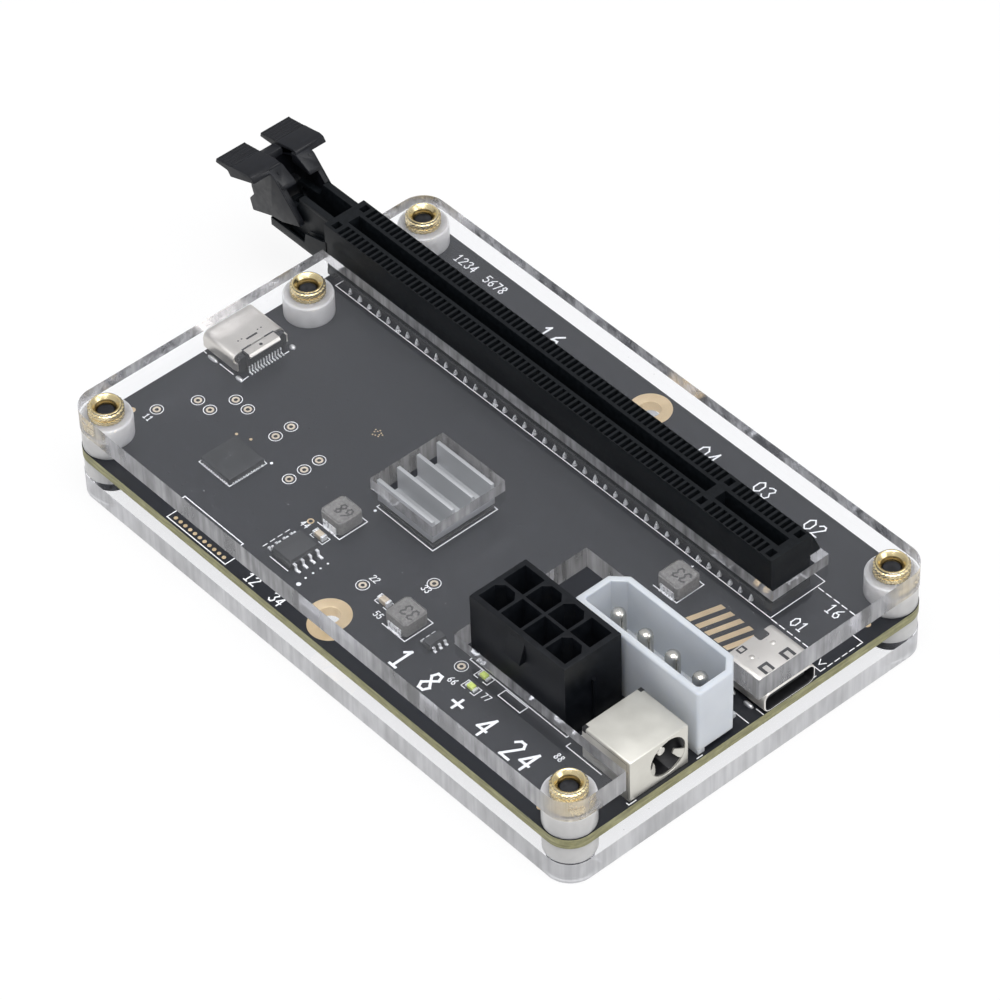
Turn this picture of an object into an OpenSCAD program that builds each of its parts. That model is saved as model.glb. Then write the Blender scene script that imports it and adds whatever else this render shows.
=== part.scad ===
// Open-frame docking board for one full-length expansion card: two clear
// plates, a circuit board between them, a card slot with a pivoting card
// latch, two data or supply ports, a barrel jack and two power headers.
// Millimetres. Origin: centre of the underside of the lower plate.
// +X runs along the card slot away from the latch, +Y to the slot side, +Z up.

/* [Case] */
// length of plates and board, along the card slot
plate_l = 99.6; // [90:0.1:120]
// width of plates and board
plate_w = 63.4; // [60:0.1:80]
// outside corner radius of plates and board
corner_r = 3.7; // [1:0.1:6]
// thickness of each clear plate
plate_t = 3.5; // [3:0.1:6]
// height of the spacers under the board
gap_low = 3.0; // [2.5:0.1:8]
// height of the spacers over the board
gap_high = 3.5; // [3.2:0.1:6]
// board thickness
board_t = 1.6; // [0.8:0.1:2.4]
// outside diameter of the spacers
spacer_d = 7.2; // [6.5:0.1:9]
// bore of the spacers
spacer_bore = 3.2; // [3.1:0.1:4]
// distance between corner screws along the slot
screw_dx = 92.2; // [88:0.1:94]
// distance between corner screws across the slot
screw_dy = 56.0; // [50:0.1:60]
// position of the fifth screw across the board
screw5_y = 7.2; // [4:0.1:10]
// outside diameter of the threaded inserts
insert_d = 5.0; // [4:0.1:5.4]
// thread bore of the inserts
insert_bore = 3.0; // [2.5:0.1:3.2]
// shank diameter of the screws
screw_d = 2.9; // [2.4:0.1:2.95]
// head diameter of the countersunk screws
screw_head_d = 6.0; // [5:0.1:7]
// length of the screws over the head
screw_len = 14.0; // [12:0.5:14.5]

/* [Card slot] */
// centre line of the slot across the board
slot_y = 17.5; // [16:0.1:20]
// width of the slot housing
slot_w = 7.2; // [7:0.1:8]
// latch end of the slot housing
slot_x0 = -50.3; // [-51:0.1:-49]
// other end of the slot housing
slot_x1 = 38.4; // [38.2:0.1:39.4]
// height of the slot housing over the board
slot_h = 10.9; // [9:0.1:12]
// width of the opening that takes the card edge
card_w = 1.95; // [1.7:0.05:2.1]
// depth of the opening that takes the card edge
card_depth = 8.3; // [6:0.1:9]
// position of the key rib
key_x = 24.15; // [23.7:0.05:24.6]
// thickness of the key rib
key_t = 1.7; // [1.5:0.1:1.9]
// contact pitch
contact_pitch = 1.0; // [1:0.1:1]
// contacts per side, latch side of the key
contacts_long = 71; // [1:1:71]
// contacts per side, other side of the key
contacts_short = 11; // [1:1:11]
// width of a contact window along the slot
window_l = 0.58; // [0.4:0.02:0.7]
// length of a contact window across the slot
window_w = 1.9; // [1.4:0.1:2]
// distance of the contact windows from the slot centre line
window_off = 2.5; // [2.4:0.05:2.6]

/* [Card latch] */
// far end of the housing extension that carries the latch
ext_x0 = -62.2; // [-63:0.1:-61]
// latch pivot along the slot
pivot_x = -60.6; // [-61:0.1:-60]
// latch pivot height
pivot_z = 14.9; // [14.5:0.1:15.2]
// diameter of the latch trunnions
trunnion_d = 1.6; // [1.2:0.1:2]
// radial clearance of the trunnions
trunnion_gap = 0.05; // [0.02:0.01:0.1]

/* [Ports] */
// centre of the data port across the board
host_y = -3.9; // [-6:0.1:-2]
// centre of the supply port across the board
power_y = 6.4; // [5:0.1:7]
// width of a port shell
port_w = 8.94; // [8.9:0.02:9]
// height of a port shell
port_h = 3.26; // [3.2:0.02:3.4]
// sheet thickness of a port shell
port_t = 0.3; // [0.2:0.05:0.4]
// length of the data port shell
host_l = 7.4; // [6:0.1:9]
// length of the supply port shell
power_l = 7.6; // [6:0.1:9]
// front of the barrel jack along the slot
jack_x1 = 49.3; // [48:0.1:49.8]
// length of the barrel jack
jack_l = 8.8; // [8:0.1:12]
// near side of the barrel jack
jack_y0 = -20.7; // [-21:0.1:-20]
// width of the barrel jack
jack_w = 10.0; // [9:0.1:10.2]
// height of the barrel jack over the board
jack_h = 7.0; // [6.5:0.1:8]
// bore of the barrel jack
jack_bore = 5.9; // [5.5:0.1:6.2]
// centre pin diameter of the barrel jack
jack_pin_d = 2.0; // [1.6:0.05:2.5]

/* [Power headers] */
// near left corner of the eight-way header along the slot
eight_x0 = 18.0; // [17.8:0.1:18.2]
// near side of the eight-way header
eight_y0 = -19.5; // [-19.6:0.1:-19.4]
// pitch of the eight-way header
eight_pitch = 4.2; // [4.2:0.1:4.2]
// cell size of the eight-way header
eight_cell = 3.7; // [3.4:0.05:3.8]
// height of the eight-way header over the board
eight_h = 12.8; // [11:0.1:13]
// left side of the four-way header along the slot
four_x0 = 26.0; // [25.8:0.1:26.2]
// length of the four-way header
four_l = 23.2; // [22.8:0.1:23.4]
// near side of the four-way header
four_y0 = -9.0; // [-9.2:0.1:-8.9]
// width of the four-way header
four_w = 8.05; // [7.8:0.05:8.2]
// height of the four-way header over the board
four_h = 11.0; // [10:0.1:12]
// pitch of the four-way header
four_pitch = 5.08; // [5.08:0.01:5.08]
// pin diameter of the four-way header
four_pin_d = 2.1; // [1.8:0.05:2.2]

/* [Heat sink] */
// heat sink size along the slot
sink_l = 11.0; // [10:0.1:11.6]
// heat sink size across the slot
sink_w = 10.9; // [10:0.1:11.6]
// heat sink height
sink_h = 5.3; // [4:0.1:8]
// fin thickness
fin_t = 0.55; // [0.4:0.05:0.8]

/* [Hidden] */
eps = 0.01;
z_b0 = plate_t + gap_low;       // underside of the board
z_b1 = z_b0 + board_t;          // top of the board
z_t0 = z_b1 + gap_high;         // underside of the upper plate
z_t1 = z_t0 + plate_t;          // top of the upper plate
slot_z1 = z_b1 + slot_h;
slot_y0 = slot_y - slot_w/2;
slot_y1 = slot_y + slot_w/2;
ext_z0 = z_b1 + 3.0;
ext_floor = ext_z0 + 1.2;
wall_y0 = slot_y0 + 1.0;        // near extension wall, outer face
wall_y1 = wall_y0 + 1.0;        // near extension wall, inner face
four_x1 = four_x0 + four_l;
jack_x0 = jack_x1 - jack_l;
jack_y1 = jack_y0 + jack_w;
jack_cy = jack_y0 + 6.5;
jack_cz = z_b1 + 3.6;
sx = screw_dx/2;
sy = screw_dy/2;
SCREWS = [[-sx, -sy], [-sx, screw5_y], [-sx, sy], [sx, sy], [sx, -sy]];
SPOTS = [[-45.2, -20.4], [-42.8, -15.2], [-40.25, -15.2], [-39.4, -11.4],
         [-36.85, -11.4], [-30.3, -9.3], [-30.3, -12.0], [-22.8, -10.7],
         [-22.8, -13.3], [-22.8, -15.9], [-1.2, -21.5], [4.9, -14.5],
         [18.45, -21.65]];
RINGS = [[0, -28.2], [0, 28.2]];

// ---- shared shapes ----

// box from its low corner to its high corner
module bx(a, b) { translate(a) cube([b[0]-a[0], b[1]-a[1], b[2]-a[2]]); }

// plan outline of plates and board
module outline2(l, w, r) {
  difference() {
    square([l, w], center = true);
    for (i = [-1, 1], j = [-1, 1]) difference() {
      translate([i*(l/2), j*(w/2)]) square(2*r, center = true);
      translate([i*(l/2 - r), j*(w/2 - r)]) circle(r = r, $fn = 64);
      translate([i*(l/2 - r) - (i > 0 ? 2*r : 0), j*(w/2 - 2*r) - r])
        square([2*r, 2*r]);
      translate([i*(l/2 - 2*r) - r, j*(w/2 - r) - (j > 0 ? 2*r : 0)])
        square([2*r, 2*r]);
    }
  }
}

// a slab of the plan outline between two heights
module slab(z0, z1) {
  translate([0, 0, z0]) linear_extrude(z1 - z0)
    outline2(plate_l, plate_w, corner_r);
}

// profile given in X and Z, drawn between two Y values
module side(y0, y1, pts) {
  translate([0, y1, 0]) rotate([90, 0, 0]) linear_extrude(y1 - y0)
    polygon(pts);
}

// tube along Z
module tube(x, y, z0, z1, d, b) {
  translate([x, y, z0]) difference() {
    cylinder(d = d, h = z1 - z0, $fn = 64);
    translate([0, 0, -1]) cylinder(d = b, h = z1 - z0 + 2, $fn = 48);
  }
}

module post(x, y, z0, z1, d) {
  translate([x, y, z0]) cylinder(d = d, h = z1 - z0, $fn = 48);
}

// ---- case ----

module bottom_plate() {
  color([0.86, 0.87, 0.93, 0.5]) difference() {
    slab(0, plate_t);
    for (p = SCREWS) {
      post(p[0], p[1], -1, plate_t + 1, screw_d + 0.2);
      post(p[0], p[1], -1, 0.25, screw_head_d + 0.2);
      translate([p[0], p[1], 0.25 - eps])
        cylinder(d1 = screw_head_d + 0.2, d2 = screw_d + 0.2,
          h = (screw_head_d - screw_d)/2, $fn = 64);
    }
  }
}

module top_plate() {
  color([0.86, 0.87, 0.93, 0.4]) difference() {
    slab(z_t0, z_t1);
    for (p = SCREWS) post(p[0], p[1], z_t0 - 1, z_t1 + 1, insert_d + 0.04);
    // long opening around the card slot, open at the latch end
    bx([-plate_l, slot_y0 - 0.9, z_t0 - 1], [39.6, slot_y1 + 1.85, z_t1 + 1]);
    // opening around headers and jack, open at the front
    bx([17.5, -21.8, z_t0 - 1], [plate_l, 0.9, z_t1 + 1]);
    // window over the heat sink
    bx([-11.3, -11.3, z_t0 - 1], [1.1, 1.35, z_t1 + 1]);
  }
}

module lower_spacers() {
  color([0.93, 0.93, 0.94]) for (p = SCREWS)
    tube(p[0], p[1], plate_t, z_b0, spacer_d, spacer_bore);
}

module upper_spacers() {
  color([0.93, 0.93, 0.94]) for (p = SCREWS)
    tube(p[0], p[1], z_b1, z_t0, spacer_d, spacer_bore);
}

module threaded_inserts() {
  color([0.85, 0.68, 0.32]) for (p = SCREWS)
    translate([p[0], p[1], z_t0]) rotate_extrude($fn = 64)
      polygon([[insert_bore/2, 0], [insert_d/2 - 0.2, 0],
        [insert_d/2, 0.2], [insert_d/2, 1.4], [insert_d/2 - 0.2, 1.5],
        [insert_d/2 - 0.2, 2.0], [insert_d/2, 2.1],
        [insert_d/2, plate_t], [insert_bore/2 + 0.2, plate_t],
        [insert_bore/2, plate_t - 0.2]]);
}

module assembly_screws() {
  hh = (screw_head_d - screw_d)/2;
  color([0.07, 0.07, 0.08]) for (p = SCREWS)
    translate([p[0], p[1], 0]) difference() {
      rotate_extrude($fn = 64)
        polygon([[0, 0], [screw_head_d/2, 0], [screw_head_d/2, 0.15],
          [screw_d/2, 0.15 + hh], [screw_d/2, screw_len - 0.3],
          [screw_d/2 - 0.3, screw_len], [0, screw_len]]);
      translate([0, 0, -1]) cylinder(d = 2.3, h = 2.2, $fn = 6);
    }
}

// ---- board ----

module circuit_board() {
  color([0.05, 0.055, 0.07]) difference() {
    slab(z_b0, z_b1);
    for (p = SCREWS) post(p[0], p[1], z_b0 - 1, z_b1 + 1, 3.2);
    for (p = RINGS) post(p[0], p[1], z_b0 - 1, z_b1 + 1, 3.24);
    for (p = SPOTS) post(p[0], p[1], z_b0 - 1, z_b1 + 1, 0.6);
    // slots for the port shell legs
    for (x = [-48.9, -44.6], s = [-1, 1])
      bx([x - 0.55, host_y + s*4.32 - 0.28, z_b0 - 1],
         [x + 0.55, host_y + s*4.32 + 0.28, z_b1 + 1]);
    for (x = [44.4, 48.2], s = [-1, 1])
      bx([x - 0.55, power_y + s*4.32 - 0.28, z_b0 - 1],
         [x + 0.55, power_y + s*4.32 + 0.28, z_b1 + 1]);
  }
}

module plated_rings() {
  color([0.83, 0.69, 0.42]) for (p = RINGS) difference() {
    union() {
      post(p[0], p[1], z_b1, z_b1 + 0.05, 6.1);
      post(p[0], p[1], z_b0, z_b1 + 0.02, 3.2);
      post(p[0], p[1], z_b0 - 0.05, z_b0, 6.1);
    }
    post(p[0], p[1], z_b0 - 1, z_b1 + 1, 3.0);
  }
}

module test_pads() {
  color([0.83, 0.69, 0.42]) for (p = SPOTS)
    tube(p[0], p[1], z_b1, z_b1 + 0.05, 1.15, 0.6);
}

// ---- card slot ----

function contact_xs() = concat(
  [for (i = [0 : contacts_long - 1]) -47.3 + i*contact_pitch],
  [for (i = [0 : contacts_short - 1]) 25.7 + i*contact_pitch]);

module slot_plan() {
  difference() {
    translate([slot_x0, slot_y0]) square([slot_x1 - slot_x0, slot_w]);
    for (s = [-1, 1]) {
      for (x = contact_xs())
        translate([x, slot_y + s*window_off])
          square([window_l, window_w], center = true);
      for (x = [-48.8, key_x, 37.2])
        translate([x, slot_y + s*window_off])
          square([1.0, 1.3], center = true);
    }
  }
}

module slot_extension() {
  // floor under the tail of the card edge
  bx([ext_x0, wall_y0, ext_z0], [slot_x0 + eps, 2*slot_y - wall_y0, ext_floor]);
  // lip at the open end of the floor
  bx([ext_x0, wall_y0 + 0.1, ext_z0 + 0.1],
     [ext_x0 + 0.8, 2*slot_y - wall_y0 - 0.1, ext_floor + 1.6]);
  for (m = [0, 1]) translate([0, m*2*slot_y, 0]) mirror([0, m, 0]) {
    // rail wall with the latch pivot hole
    difference() {
      side(wall_y0, wall_y1, [[ext_x0, ext_z0], [slot_x0 + eps, ext_z0],
        [slot_x0 + eps, slot_z1 - 0.15], [-56.7, slot_z1 - 0.15],
        [-56.9, slot_z1 - 1.0], [-57.6, 16.5], [ext_x0, 16.2]]);
      translate([pivot_x, wall_y0 - 1, pivot_z]) rotate([-90, 0, 0])
        cylinder(d = trunnion_d + 2*trunnion_gap, h = 3, $fn = 48);
      // groove under the rail lip
      bx([-58, wall_y0 - 1, slot_z1 - 1.5], [slot_x0 - 0.6, wall_y0 + 0.15,
        slot_z1 - 1.25]);
    }
    // ledge that guides the latch cheek, with a long pocket
    difference() {
      side(slot_y0, wall_y0 + eps, [[ext_x0, ext_z0],
        [slot_x0 + eps, ext_z0], [slot_x0 + eps, 15.6],
        [-51.0, 15.2], [-54.6, 14.3], [-55.0, 12.5], [ext_x0, 12.5]]);
      bx([-58.6, slot_y0 + 0.3, ext_z0 + 0.5],
         [-51.1, wall_y0 - 0.15, 16]);
    }
  }
}

module slot_housing() {
  color([0.13, 0.14, 0.16]) union() {
    difference() {
      translate([0, 0, z_b1 + 0.9]) linear_extrude(slot_h - 0.9) slot_plan();
      // opening for the card edge, in two lengths either side of the key
      bx([-48.2, slot_y - card_w/2, slot_z1 - card_depth],
         [key_x - key_t/2, slot_y + card_w/2, slot_z1 + 1]);
      bx([key_x + key_t/2, slot_y - card_w/2, slot_z1 - card_depth],
         [36.9, slot_y + card_w/2, slot_z1 + 1]);
      // draft step along both long sides
      for (s = [-1, 1])
        bx([slot_x0 + 1.2, slot_y + s*(slot_w/2) - 0.12, z_b1],
           [slot_x1 - 1.2, slot_y + s*(slot_w/2) + 0.12, slot_z1 - 3.4]);
    }
    // foot along the middle and at both ends
    bx([slot_x0, slot_y - 1.5, z_b1], [slot_x1, slot_y + 1.5, z_b1 + 0.9 + eps]);
    for (x = [slot_x0, slot_x1 - 1.5])
      bx([x, slot_y0, z_b1], [x + 1.5, slot_y1, z_b1 + 0.9 + eps]);
    // gusset on the far side at the front end
    translate([slot_x1 - 1.2, 0, 0]) rotate([90, 0, 90]) linear_extrude(1.2)
      polygon([[slot_y1 - 0.3, slot_z1], [slot_y1, slot_z1],
        [slot_y1 + 1.5, slot_z1 - 3.3], [slot_y1 + 1.5, slot_z1 - 3.7],
        [slot_y1 - 0.3, slot_z1 - 3.7]]);
    slot_extension();
  }
}

// contacts of one side, s = -1 near side, 1 far side
module contact_row(s) {
  for (x = contact_xs()) union() {
    yc = slot_y + s*window_off;
    bx([x - 0.18, yc - 0.35, z_b1 + 0.15], [x + 0.18, yc + 0.35,
      slot_z1 - 1.3]);
    bx([x - 0.18, min(yc, slot_y + s*(slot_w/2 - 0.2)), z_b1],
       [x + 0.18, max(yc, slot_y + s*(slot_w/2 - 0.2)), z_b1 + 0.25]);
  }
}

module slot_contacts_near() { color([0.83, 0.69, 0.42]) contact_row(-1); }
module slot_contacts_far() { color([0.83, 0.69, 0.42]) contact_row(1); }

module slot_solder_joints() {
  color([0.75, 0.76, 0.78]) for (i = [0 : 40], s = [-1, 1]) {
    big = i % 3 != 2;
    translate([-45.0 + 2*i, slot_y + s*(slot_w/2 + 0.3), z_b1])
      cylinder(d1 = 0.7, d2 = 0.12, h = big ? 1.1 : 0.85, $fn = 24);
  }
}

// ---- card latch (drawn open) ----

module latch_half() {
  cheek_y0 = slot_y0 - 0.15;
  cheek_y1 = wall_y0 - 0.2;
  // side cheek
  side(cheek_y0, cheek_y1, [[-66.1, 19.25], [-66.0, 15.8], [-65.6, 14.6],
    [-66.6, 13.3], [-66.0, 11.4], [-62.4, 12.75], [-61.6, 13.05],
    [-59.5, 13.35], [-55.5, 15.0], [-56.0, 15.9], [-60.9, 20.9],
    [-62.1, 21.1]]);
  // trunnion
  translate([pivot_x, cheek_y1 - 0.3, pivot_z]) rotate([-90, 0, 0])
    cylinder(d = trunnion_d, h = 1.2, $fn = 48);
  // finger ear with grip grooves
  difference() {
    side(slot_y - 6.55, slot_y - 1.45, [[-69.9, 20.1], [-66.2, 20.75],
      [-63.0, 21.5], [-62.2, 21.4], [-61.6, 20.6], [-66.9, 18.6],
      [-67.5, 19.4], [-70.1, 19.3]]);
    for (i = [0 : 4])
      translate([-69.5 + i*0.72, 0, 20.17 + i*0.126]) rotate([0, -10, 0])
        bx([-0.14, slot_y - 7, -0.12], [0.14, slot_y - 1, 1]);
  }
  // hook block that comes down over the card notch
  side(slot_y - 3.5, slot_y - 1.2, [[-62.9, 20.9], [-61.9, 21.2],
    [-59.2, 19.9], [-58.9, 19.35], [-62.7, 19.35]]);
}

module latch_lever() {
  color([0.12, 0.13, 0.15]) union() {
    latch_half();
    translate([0, 2*slot_y, 0]) mirror([0, 1, 0]) latch_half();
    // bar that joins the ears
    side(slot_y - 2, slot_y + 2, [[-67.3, 19.8], [-65.4, 20.3],
      [-65.0, 19.4], [-66.9, 18.7]]);
    // back wall under the ears
    side(slot_y - 3.55, slot_y + 3.55, [[-66.2, 19.05], [-65.1, 19.45],
      [-64.5, 13.6], [-65.5, 13.3]]);
    // foot that the tail of the card pushes down on
    side(slot_y - 3.55, slot_y + 3.55, [[-65.0, 14.9], [-64.9, 12.2],
      [-62.85, 12.75], [-62.8, 15.1], [-63.2, 15.4], [-64.4, 15.4]]);
  }
}

// ---- ports ----

// port section in Y and Z, drawn from x0 to x1
module port_section(cy, w, h, r, x0, x1) {
  translate([x0, cy, z_b1 + port_h/2]) rotate([90, 0, 90])
    linear_extrude(x1 - x0) union() {
      square([w - 2*r, h], center = true);
      square([w, h - 2*r], center = true);
      for (i = [-1, 1], j = [-1, 1])
        translate([i*(w/2 - r), j*(h/2 - r)]) circle(r = r, $fn = 40);
    }
}

module port_shell(cy, x0, x1, legs, wins) {
  difference() {
    port_section(cy, port_w, port_h, 1.1, x0, x1);
    port_section(cy, port_w - 2*port_t, port_h - 2*port_t, 0.8, x0 - 1, x1 + 1);
    // windows in the roof, sunk outlines
    for (w = wins)
      bx([w[0], cy + w[2], z_b1 + port_h - port_t/2],
         [w[1], cy + w[3], z_b1 + port_h + 1]);
  }
  for (x = legs, s = [-1, 1])
    bx([x - 0.5, cy + s*4.32 - 0.15, z_b0 + 0.3],
       [x + 0.5, cy + s*4.32 + 0.15, z_b1 + port_h/2]);
}

// insulator block and tongue; m = 1 opens to +X, m = -1 opens to -X
module port_tongue(cy, xm, len, m) {
  xb = xm - m*len;             // closed end
  // block that fills the closed end
  port_section(cy, port_w - 2*port_t - 0.06, port_h - 2*port_t - 0.06, 0.77,
    min(xb, xb + m*2.0), max(xb, xb + m*2.0));
  zc = z_b1 + port_h/2;
  bx([min(xb + m, xm - m*0.9), cy - 3.34, zc - 0.35],
     [max(xb + m, xm - m*0.9), cy + 3.34, zc + 0.35]);
}

module port_contacts(cy, xm, len, m) {
  xb = xm - m*len;
  zc = z_b1 + port_h/2;
  for (i = [0 : 11]) {
    y = cy + (i - 5.5)*0.5;
    for (s = [-1, 1])
      bx([min(xb + m*2.0, xm - m*1.2), y - 0.12, zc + (s > 0 ? 0.35 : -0.41)],
         [max(xb + m*2.0, xm - m*1.2), y + 0.12, zc + (s > 0 ? 0.41 : -0.35)]);
    // solder feet behind the closed end
    bx([min(xb, xb - m*0.75), y - 0.12, z_b1],
       [max(xb, xb - m*0.75), y + 0.12, z_b1 + 0.2]);
  }
}

module host_port_shell() {
  color([0.78, 0.79, 0.8])
    port_shell(host_y, -50.0, -50.0 + host_l, [-48.9, -44.6],
      [[-45.0, -44.6, -0.95, 0.95], [-43.65, -43.35, -2.75, -1.1],
       [-43.65, -43.35, 1.15, 2.9], [-43.4, -42.0, -2.75, -2.45],
       [-43.4, -42.0, 2.6, 2.9]]);
}
module host_port_tongue() {
  color([0.08, 0.08, 0.09]) port_tongue(host_y, -50.0, host_l, -1);
}
module host_port_contacts() {
  color([0.83, 0.69, 0.42]) port_contacts(host_y, -50.0, host_l, -1);
}
module power_port_shell() {
  color([0.78, 0.79, 0.8])
    port_shell(power_y, 49.8 - power_l, 49.8, [44.4, 48.2],
      [[46.5, 48.15, 1.0, 2.65], [46.5, 48.15, -2.7, -1.05],
       [42.45, 43.35, -2.6, -1.3], [41.0, 43.4, 0.8, 2.7]]);
}
module power_port_tongue() {
  color([0.08, 0.08, 0.09]) port_tongue(power_y, 49.8, power_l, 1);
}
module power_port_contacts() {
  color([0.83, 0.69, 0.42]) port_contacts(power_y, 49.8, power_l, 1);
}

// ---- barrel jack ----

module barrel_jack_shield() {
  t = 0.3;
  color([0.78, 0.79, 0.8]) difference() {
    bx([jack_x0, jack_y0, z_b1], [jack_x1, jack_y1, z_b1 + jack_h]);
    bx([jack_x0 - 1, jack_y0 + t, z_b1 - 1],
       [jack_x1 - t, jack_y1 - t, z_b1 + jack_h - t]);
    translate([jack_x1 - 2, jack_cy, jack_cz]) rotate([0, 90, 0])
      cylinder(d = jack_bore, h = 4, $fn = 64);
    // notches at the rear corners of the roof
    for (y = [jack_y0, jack_y1 - 0.7])
      bx([jack_x0 - 1, y - eps, z_b1 + jack_h - 0.8],
         [jack_x0 + 0.7, y + 0.7 + eps, z_b1 + jack_h + 1]);
  }
}

module barrel_jack_body() {
  t = 0.3; c = 0.04;
  color([0.06, 0.06, 0.07]) difference() {
    union() {
      bx([jack_x0, jack_y0 + t + c, z_b1],
         [jack_x1 - t - c, jack_y1 - t - c, z_b1 + jack_h - t - c]);
      bx([jack_x0 - 0.6, jack_y0 + 1.4, z_b1],
         [jack_x0 + 0.2, jack_y1 - 1.4, z_b1 + jack_h - 1.6]);
    }
    translate([jack_x0 + 1.2, jack_cy, jack_cz]) rotate([0, 90, 0])
      cylinder(d = 5.6, h = jack_l, $fn = 64);
    for (y = [jack_y0, jack_y1 - 0.75])
      bx([jack_x0 - 1, y - eps, z_b1 + jack_h - 0.85],
         [jack_x0 + 0.75, y + 0.75 + eps, z_b1 + jack_h + 1]);
  }
}

module barrel_jack_pin() {
  color([0.8, 0.8, 0.8]) translate([jack_x0 + 1.2, jack_cy, jack_cz])
    rotate([0, 90, 0]) {
      cylinder(d = jack_pin_d, h = jack_l - 3.0, $fn = 40);
      translate([0, 0, jack_l - 3.0])
        cylinder(d1 = jack_pin_d, d2 = jack_pin_d - 0.8, h = 0.5, $fn = 40);
    }
}

// ---- power headers ----

// one cell in plan; d = 1 cuts the two far corners
module cell2(d) {
  h = eight_cell/2;
  polygon(d ? [[-h, -h], [h, -h], [h, h - 0.95], [h - 0.95, h],
               [0.95 - h, h], [-h, h - 0.95]]
            : [[-h, -h], [h, -h], [h, h], [-h, h]]);
}

module cpu_power_header() {
  l = 18.0; w = 9.6;
  color([0.06, 0.06, 0.07]) union() {
    difference() {
      bx([eight_x0, eight_y0, z_b1], [eight_x0 + l, eight_y0 + w,
        z_b1 + eight_h]);
      for (i = [0 : 3], j = [0, 1])
        translate([eight_x0 + l/2 + (i - 1.5)*eight_pitch,
          eight_y0 + w/2 + (j - 0.5)*eight_pitch, z_b1 + 3.4])
          linear_extrude(eight_h)
            cell2(j == 0 ? (i == 0 || i == 3) : (i == 1 || i == 2));
    }
    // latch ramp on the near face
    translate([eight_x0 + 7.5, 0, 0]) rotate([90, 0, 90]) linear_extrude(3.0)
      polygon([[eight_y0 + 0.3, z_b1 + 11.8], [eight_y0, z_b1 + 11.8],
        [eight_y0 - 1.0, z_b1 + 8.8], [eight_y0 - 1.0, z_b1 + 8.55],
        [eight_y0 + 0.3, z_b1 + 8.55]]);
    // guide ribs on both ends
    for (x = [eight_x0 - 0.3, eight_x0 + l - 0.1])
      bx([x, eight_y0 + 4.5, z_b1], [x + 0.4, eight_y0 + 5.1, z_b1 + 8.0]);
  }
}

module cpu_power_pins() {
  color([0.8, 0.72, 0.5]) for (i = [0 : 3], j = [0, 1])
    translate([eight_x0 + 9.0 + (i - 1.5)*eight_pitch,
      eight_y0 + 4.8 + (j - 0.5)*eight_pitch, z_b1 + 3.4]) {
      translate([-0.5, -0.5, 0]) cube([1.0, 1.0, 5.6]);
    }
}

module four_plan(k) {
  // outline drawn in by k on every side
  c = 2.1;
  polygon([[four_x0 + k, four_y0 + k], [four_x1 - k, four_y0 + k],
    [four_x1 - k, four_y0 + four_w - c - k*0.414],
    [four_x1 - c - k*0.414, four_y0 + four_w - k],
    [four_x0 + c + k*0.414, four_y0 + four_w - k],
    [four_x0 + k, four_y0 + four_w - c - k*0.414]]);
}

FOUR_PINS = [for (i = [0 : 3]) [30.0 + i*four_pitch, four_y0 + 4.05]];

module drive_power_header() {
  color([0.8, 0.83, 0.87]) union() {
    difference() {
      translate([0, 0, z_b1]) linear_extrude(four_h) four_plan(0);
      translate([0, 0, z_b1 + 2.2]) linear_extrude(four_h) four_plan(1.0);
      for (p = FOUR_PINS) post(p[0], p[1], z_b1 - 1, z_b1 + 4,
        four_pin_d + 0.06);
      // raised underside at the front end, beside a corner foot
      bx([four_x1 - 1.6, four_y0 + 1.1, z_b1 - 1],
         [four_x1 + 1, four_y0 + four_w + 1, z_b1 + 0.7]);
    }
  }
}

module drive_power_pins() {
  color([0.8, 0.8, 0.78]) for (p = FOUR_PINS) translate([p[0], p[1], z_b1])
    difference() {
      union() {
        cylinder(d = four_pin_d, h = 8.3, $fn = 48);
        translate([0, 0, 8.3]) cylinder(d1 = four_pin_d,
          d2 = four_pin_d - 0.9, h = 0.7, $fn = 48);
      }
      translate([0, 0, 4.0]) cylinder(d = 0.7, h = 6, $fn = 32);
      translate([-0.06, 0.2, 4.0]) cube([0.12, 2, 6]);
    }
}

// ---- chips and small parts ----

module controller_chip() {
  color([0.1, 0.1, 0.11]) {
    bx([-10.65, -10.45, z_b1 + 0.25], [0.05, 0.25, z_b1 + 0.6]);
    bx([-9.9, -9.7, z_b1 + 0.6 - eps], [-0.7, -0.5, z_b1 + 1.0]);
    for (i = [0 : 6], j = [0 : 6])
      translate([-9.8 + i*1.5, -9.6 + j*1.5, z_b1])
        cylinder(d = 0.5, h = 0.25 + eps, $fn = 16);
  }
}

module thermal_pad() {
  color([0.75, 0.78, 0.8])
    bx([-10.2, -9.9, z_b1 + 1.0], [-0.4, -0.2, z_b1 + 1.25]);
}

module heatsink() {
  x0 = -10.83; y0 = -10.6; z0 = z_b1 + 1.25;
  gap = (sink_w - fin_t)/3;
  color([0.72, 0.73, 0.75]) union() {
    bx([x0, y0, z0], [x0 + sink_l, y0 + sink_w, z0 + 1.5]);
    for (i = [0 : 3])
      bx([x0, y0 + i*gap, z0 + 1.5 - eps],
         [x0 + sink_l, y0 + i*gap + fin_t, z0 + sink_h]);
  }
}

COILS = [[-11.8, -16.0], [8.0, -21.8], [26.95, 8.4]];

module coil_plan(s, c) {
  h = s/2;
  polygon([[-h + c, -h], [h - c, -h], [h, -h + c], [h, h - c], [h - c, h],
    [-h + c, h], [-h, h - c], [-h, -h + c]]);
}

module inductor_bodies() {
  color([0.5, 0.49, 0.48]) for (p = COILS) translate([p[0], p[1], z_b1]) {
    union() {
      translate([0, 0, 0.15]) linear_extrude(2.15) coil_plan(4.1, 0.35);
      translate([0, 0, 2.3 - eps]) linear_extrude(0.15) coil_plan(3.8, 0.35);
    }
  }
}

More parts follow.
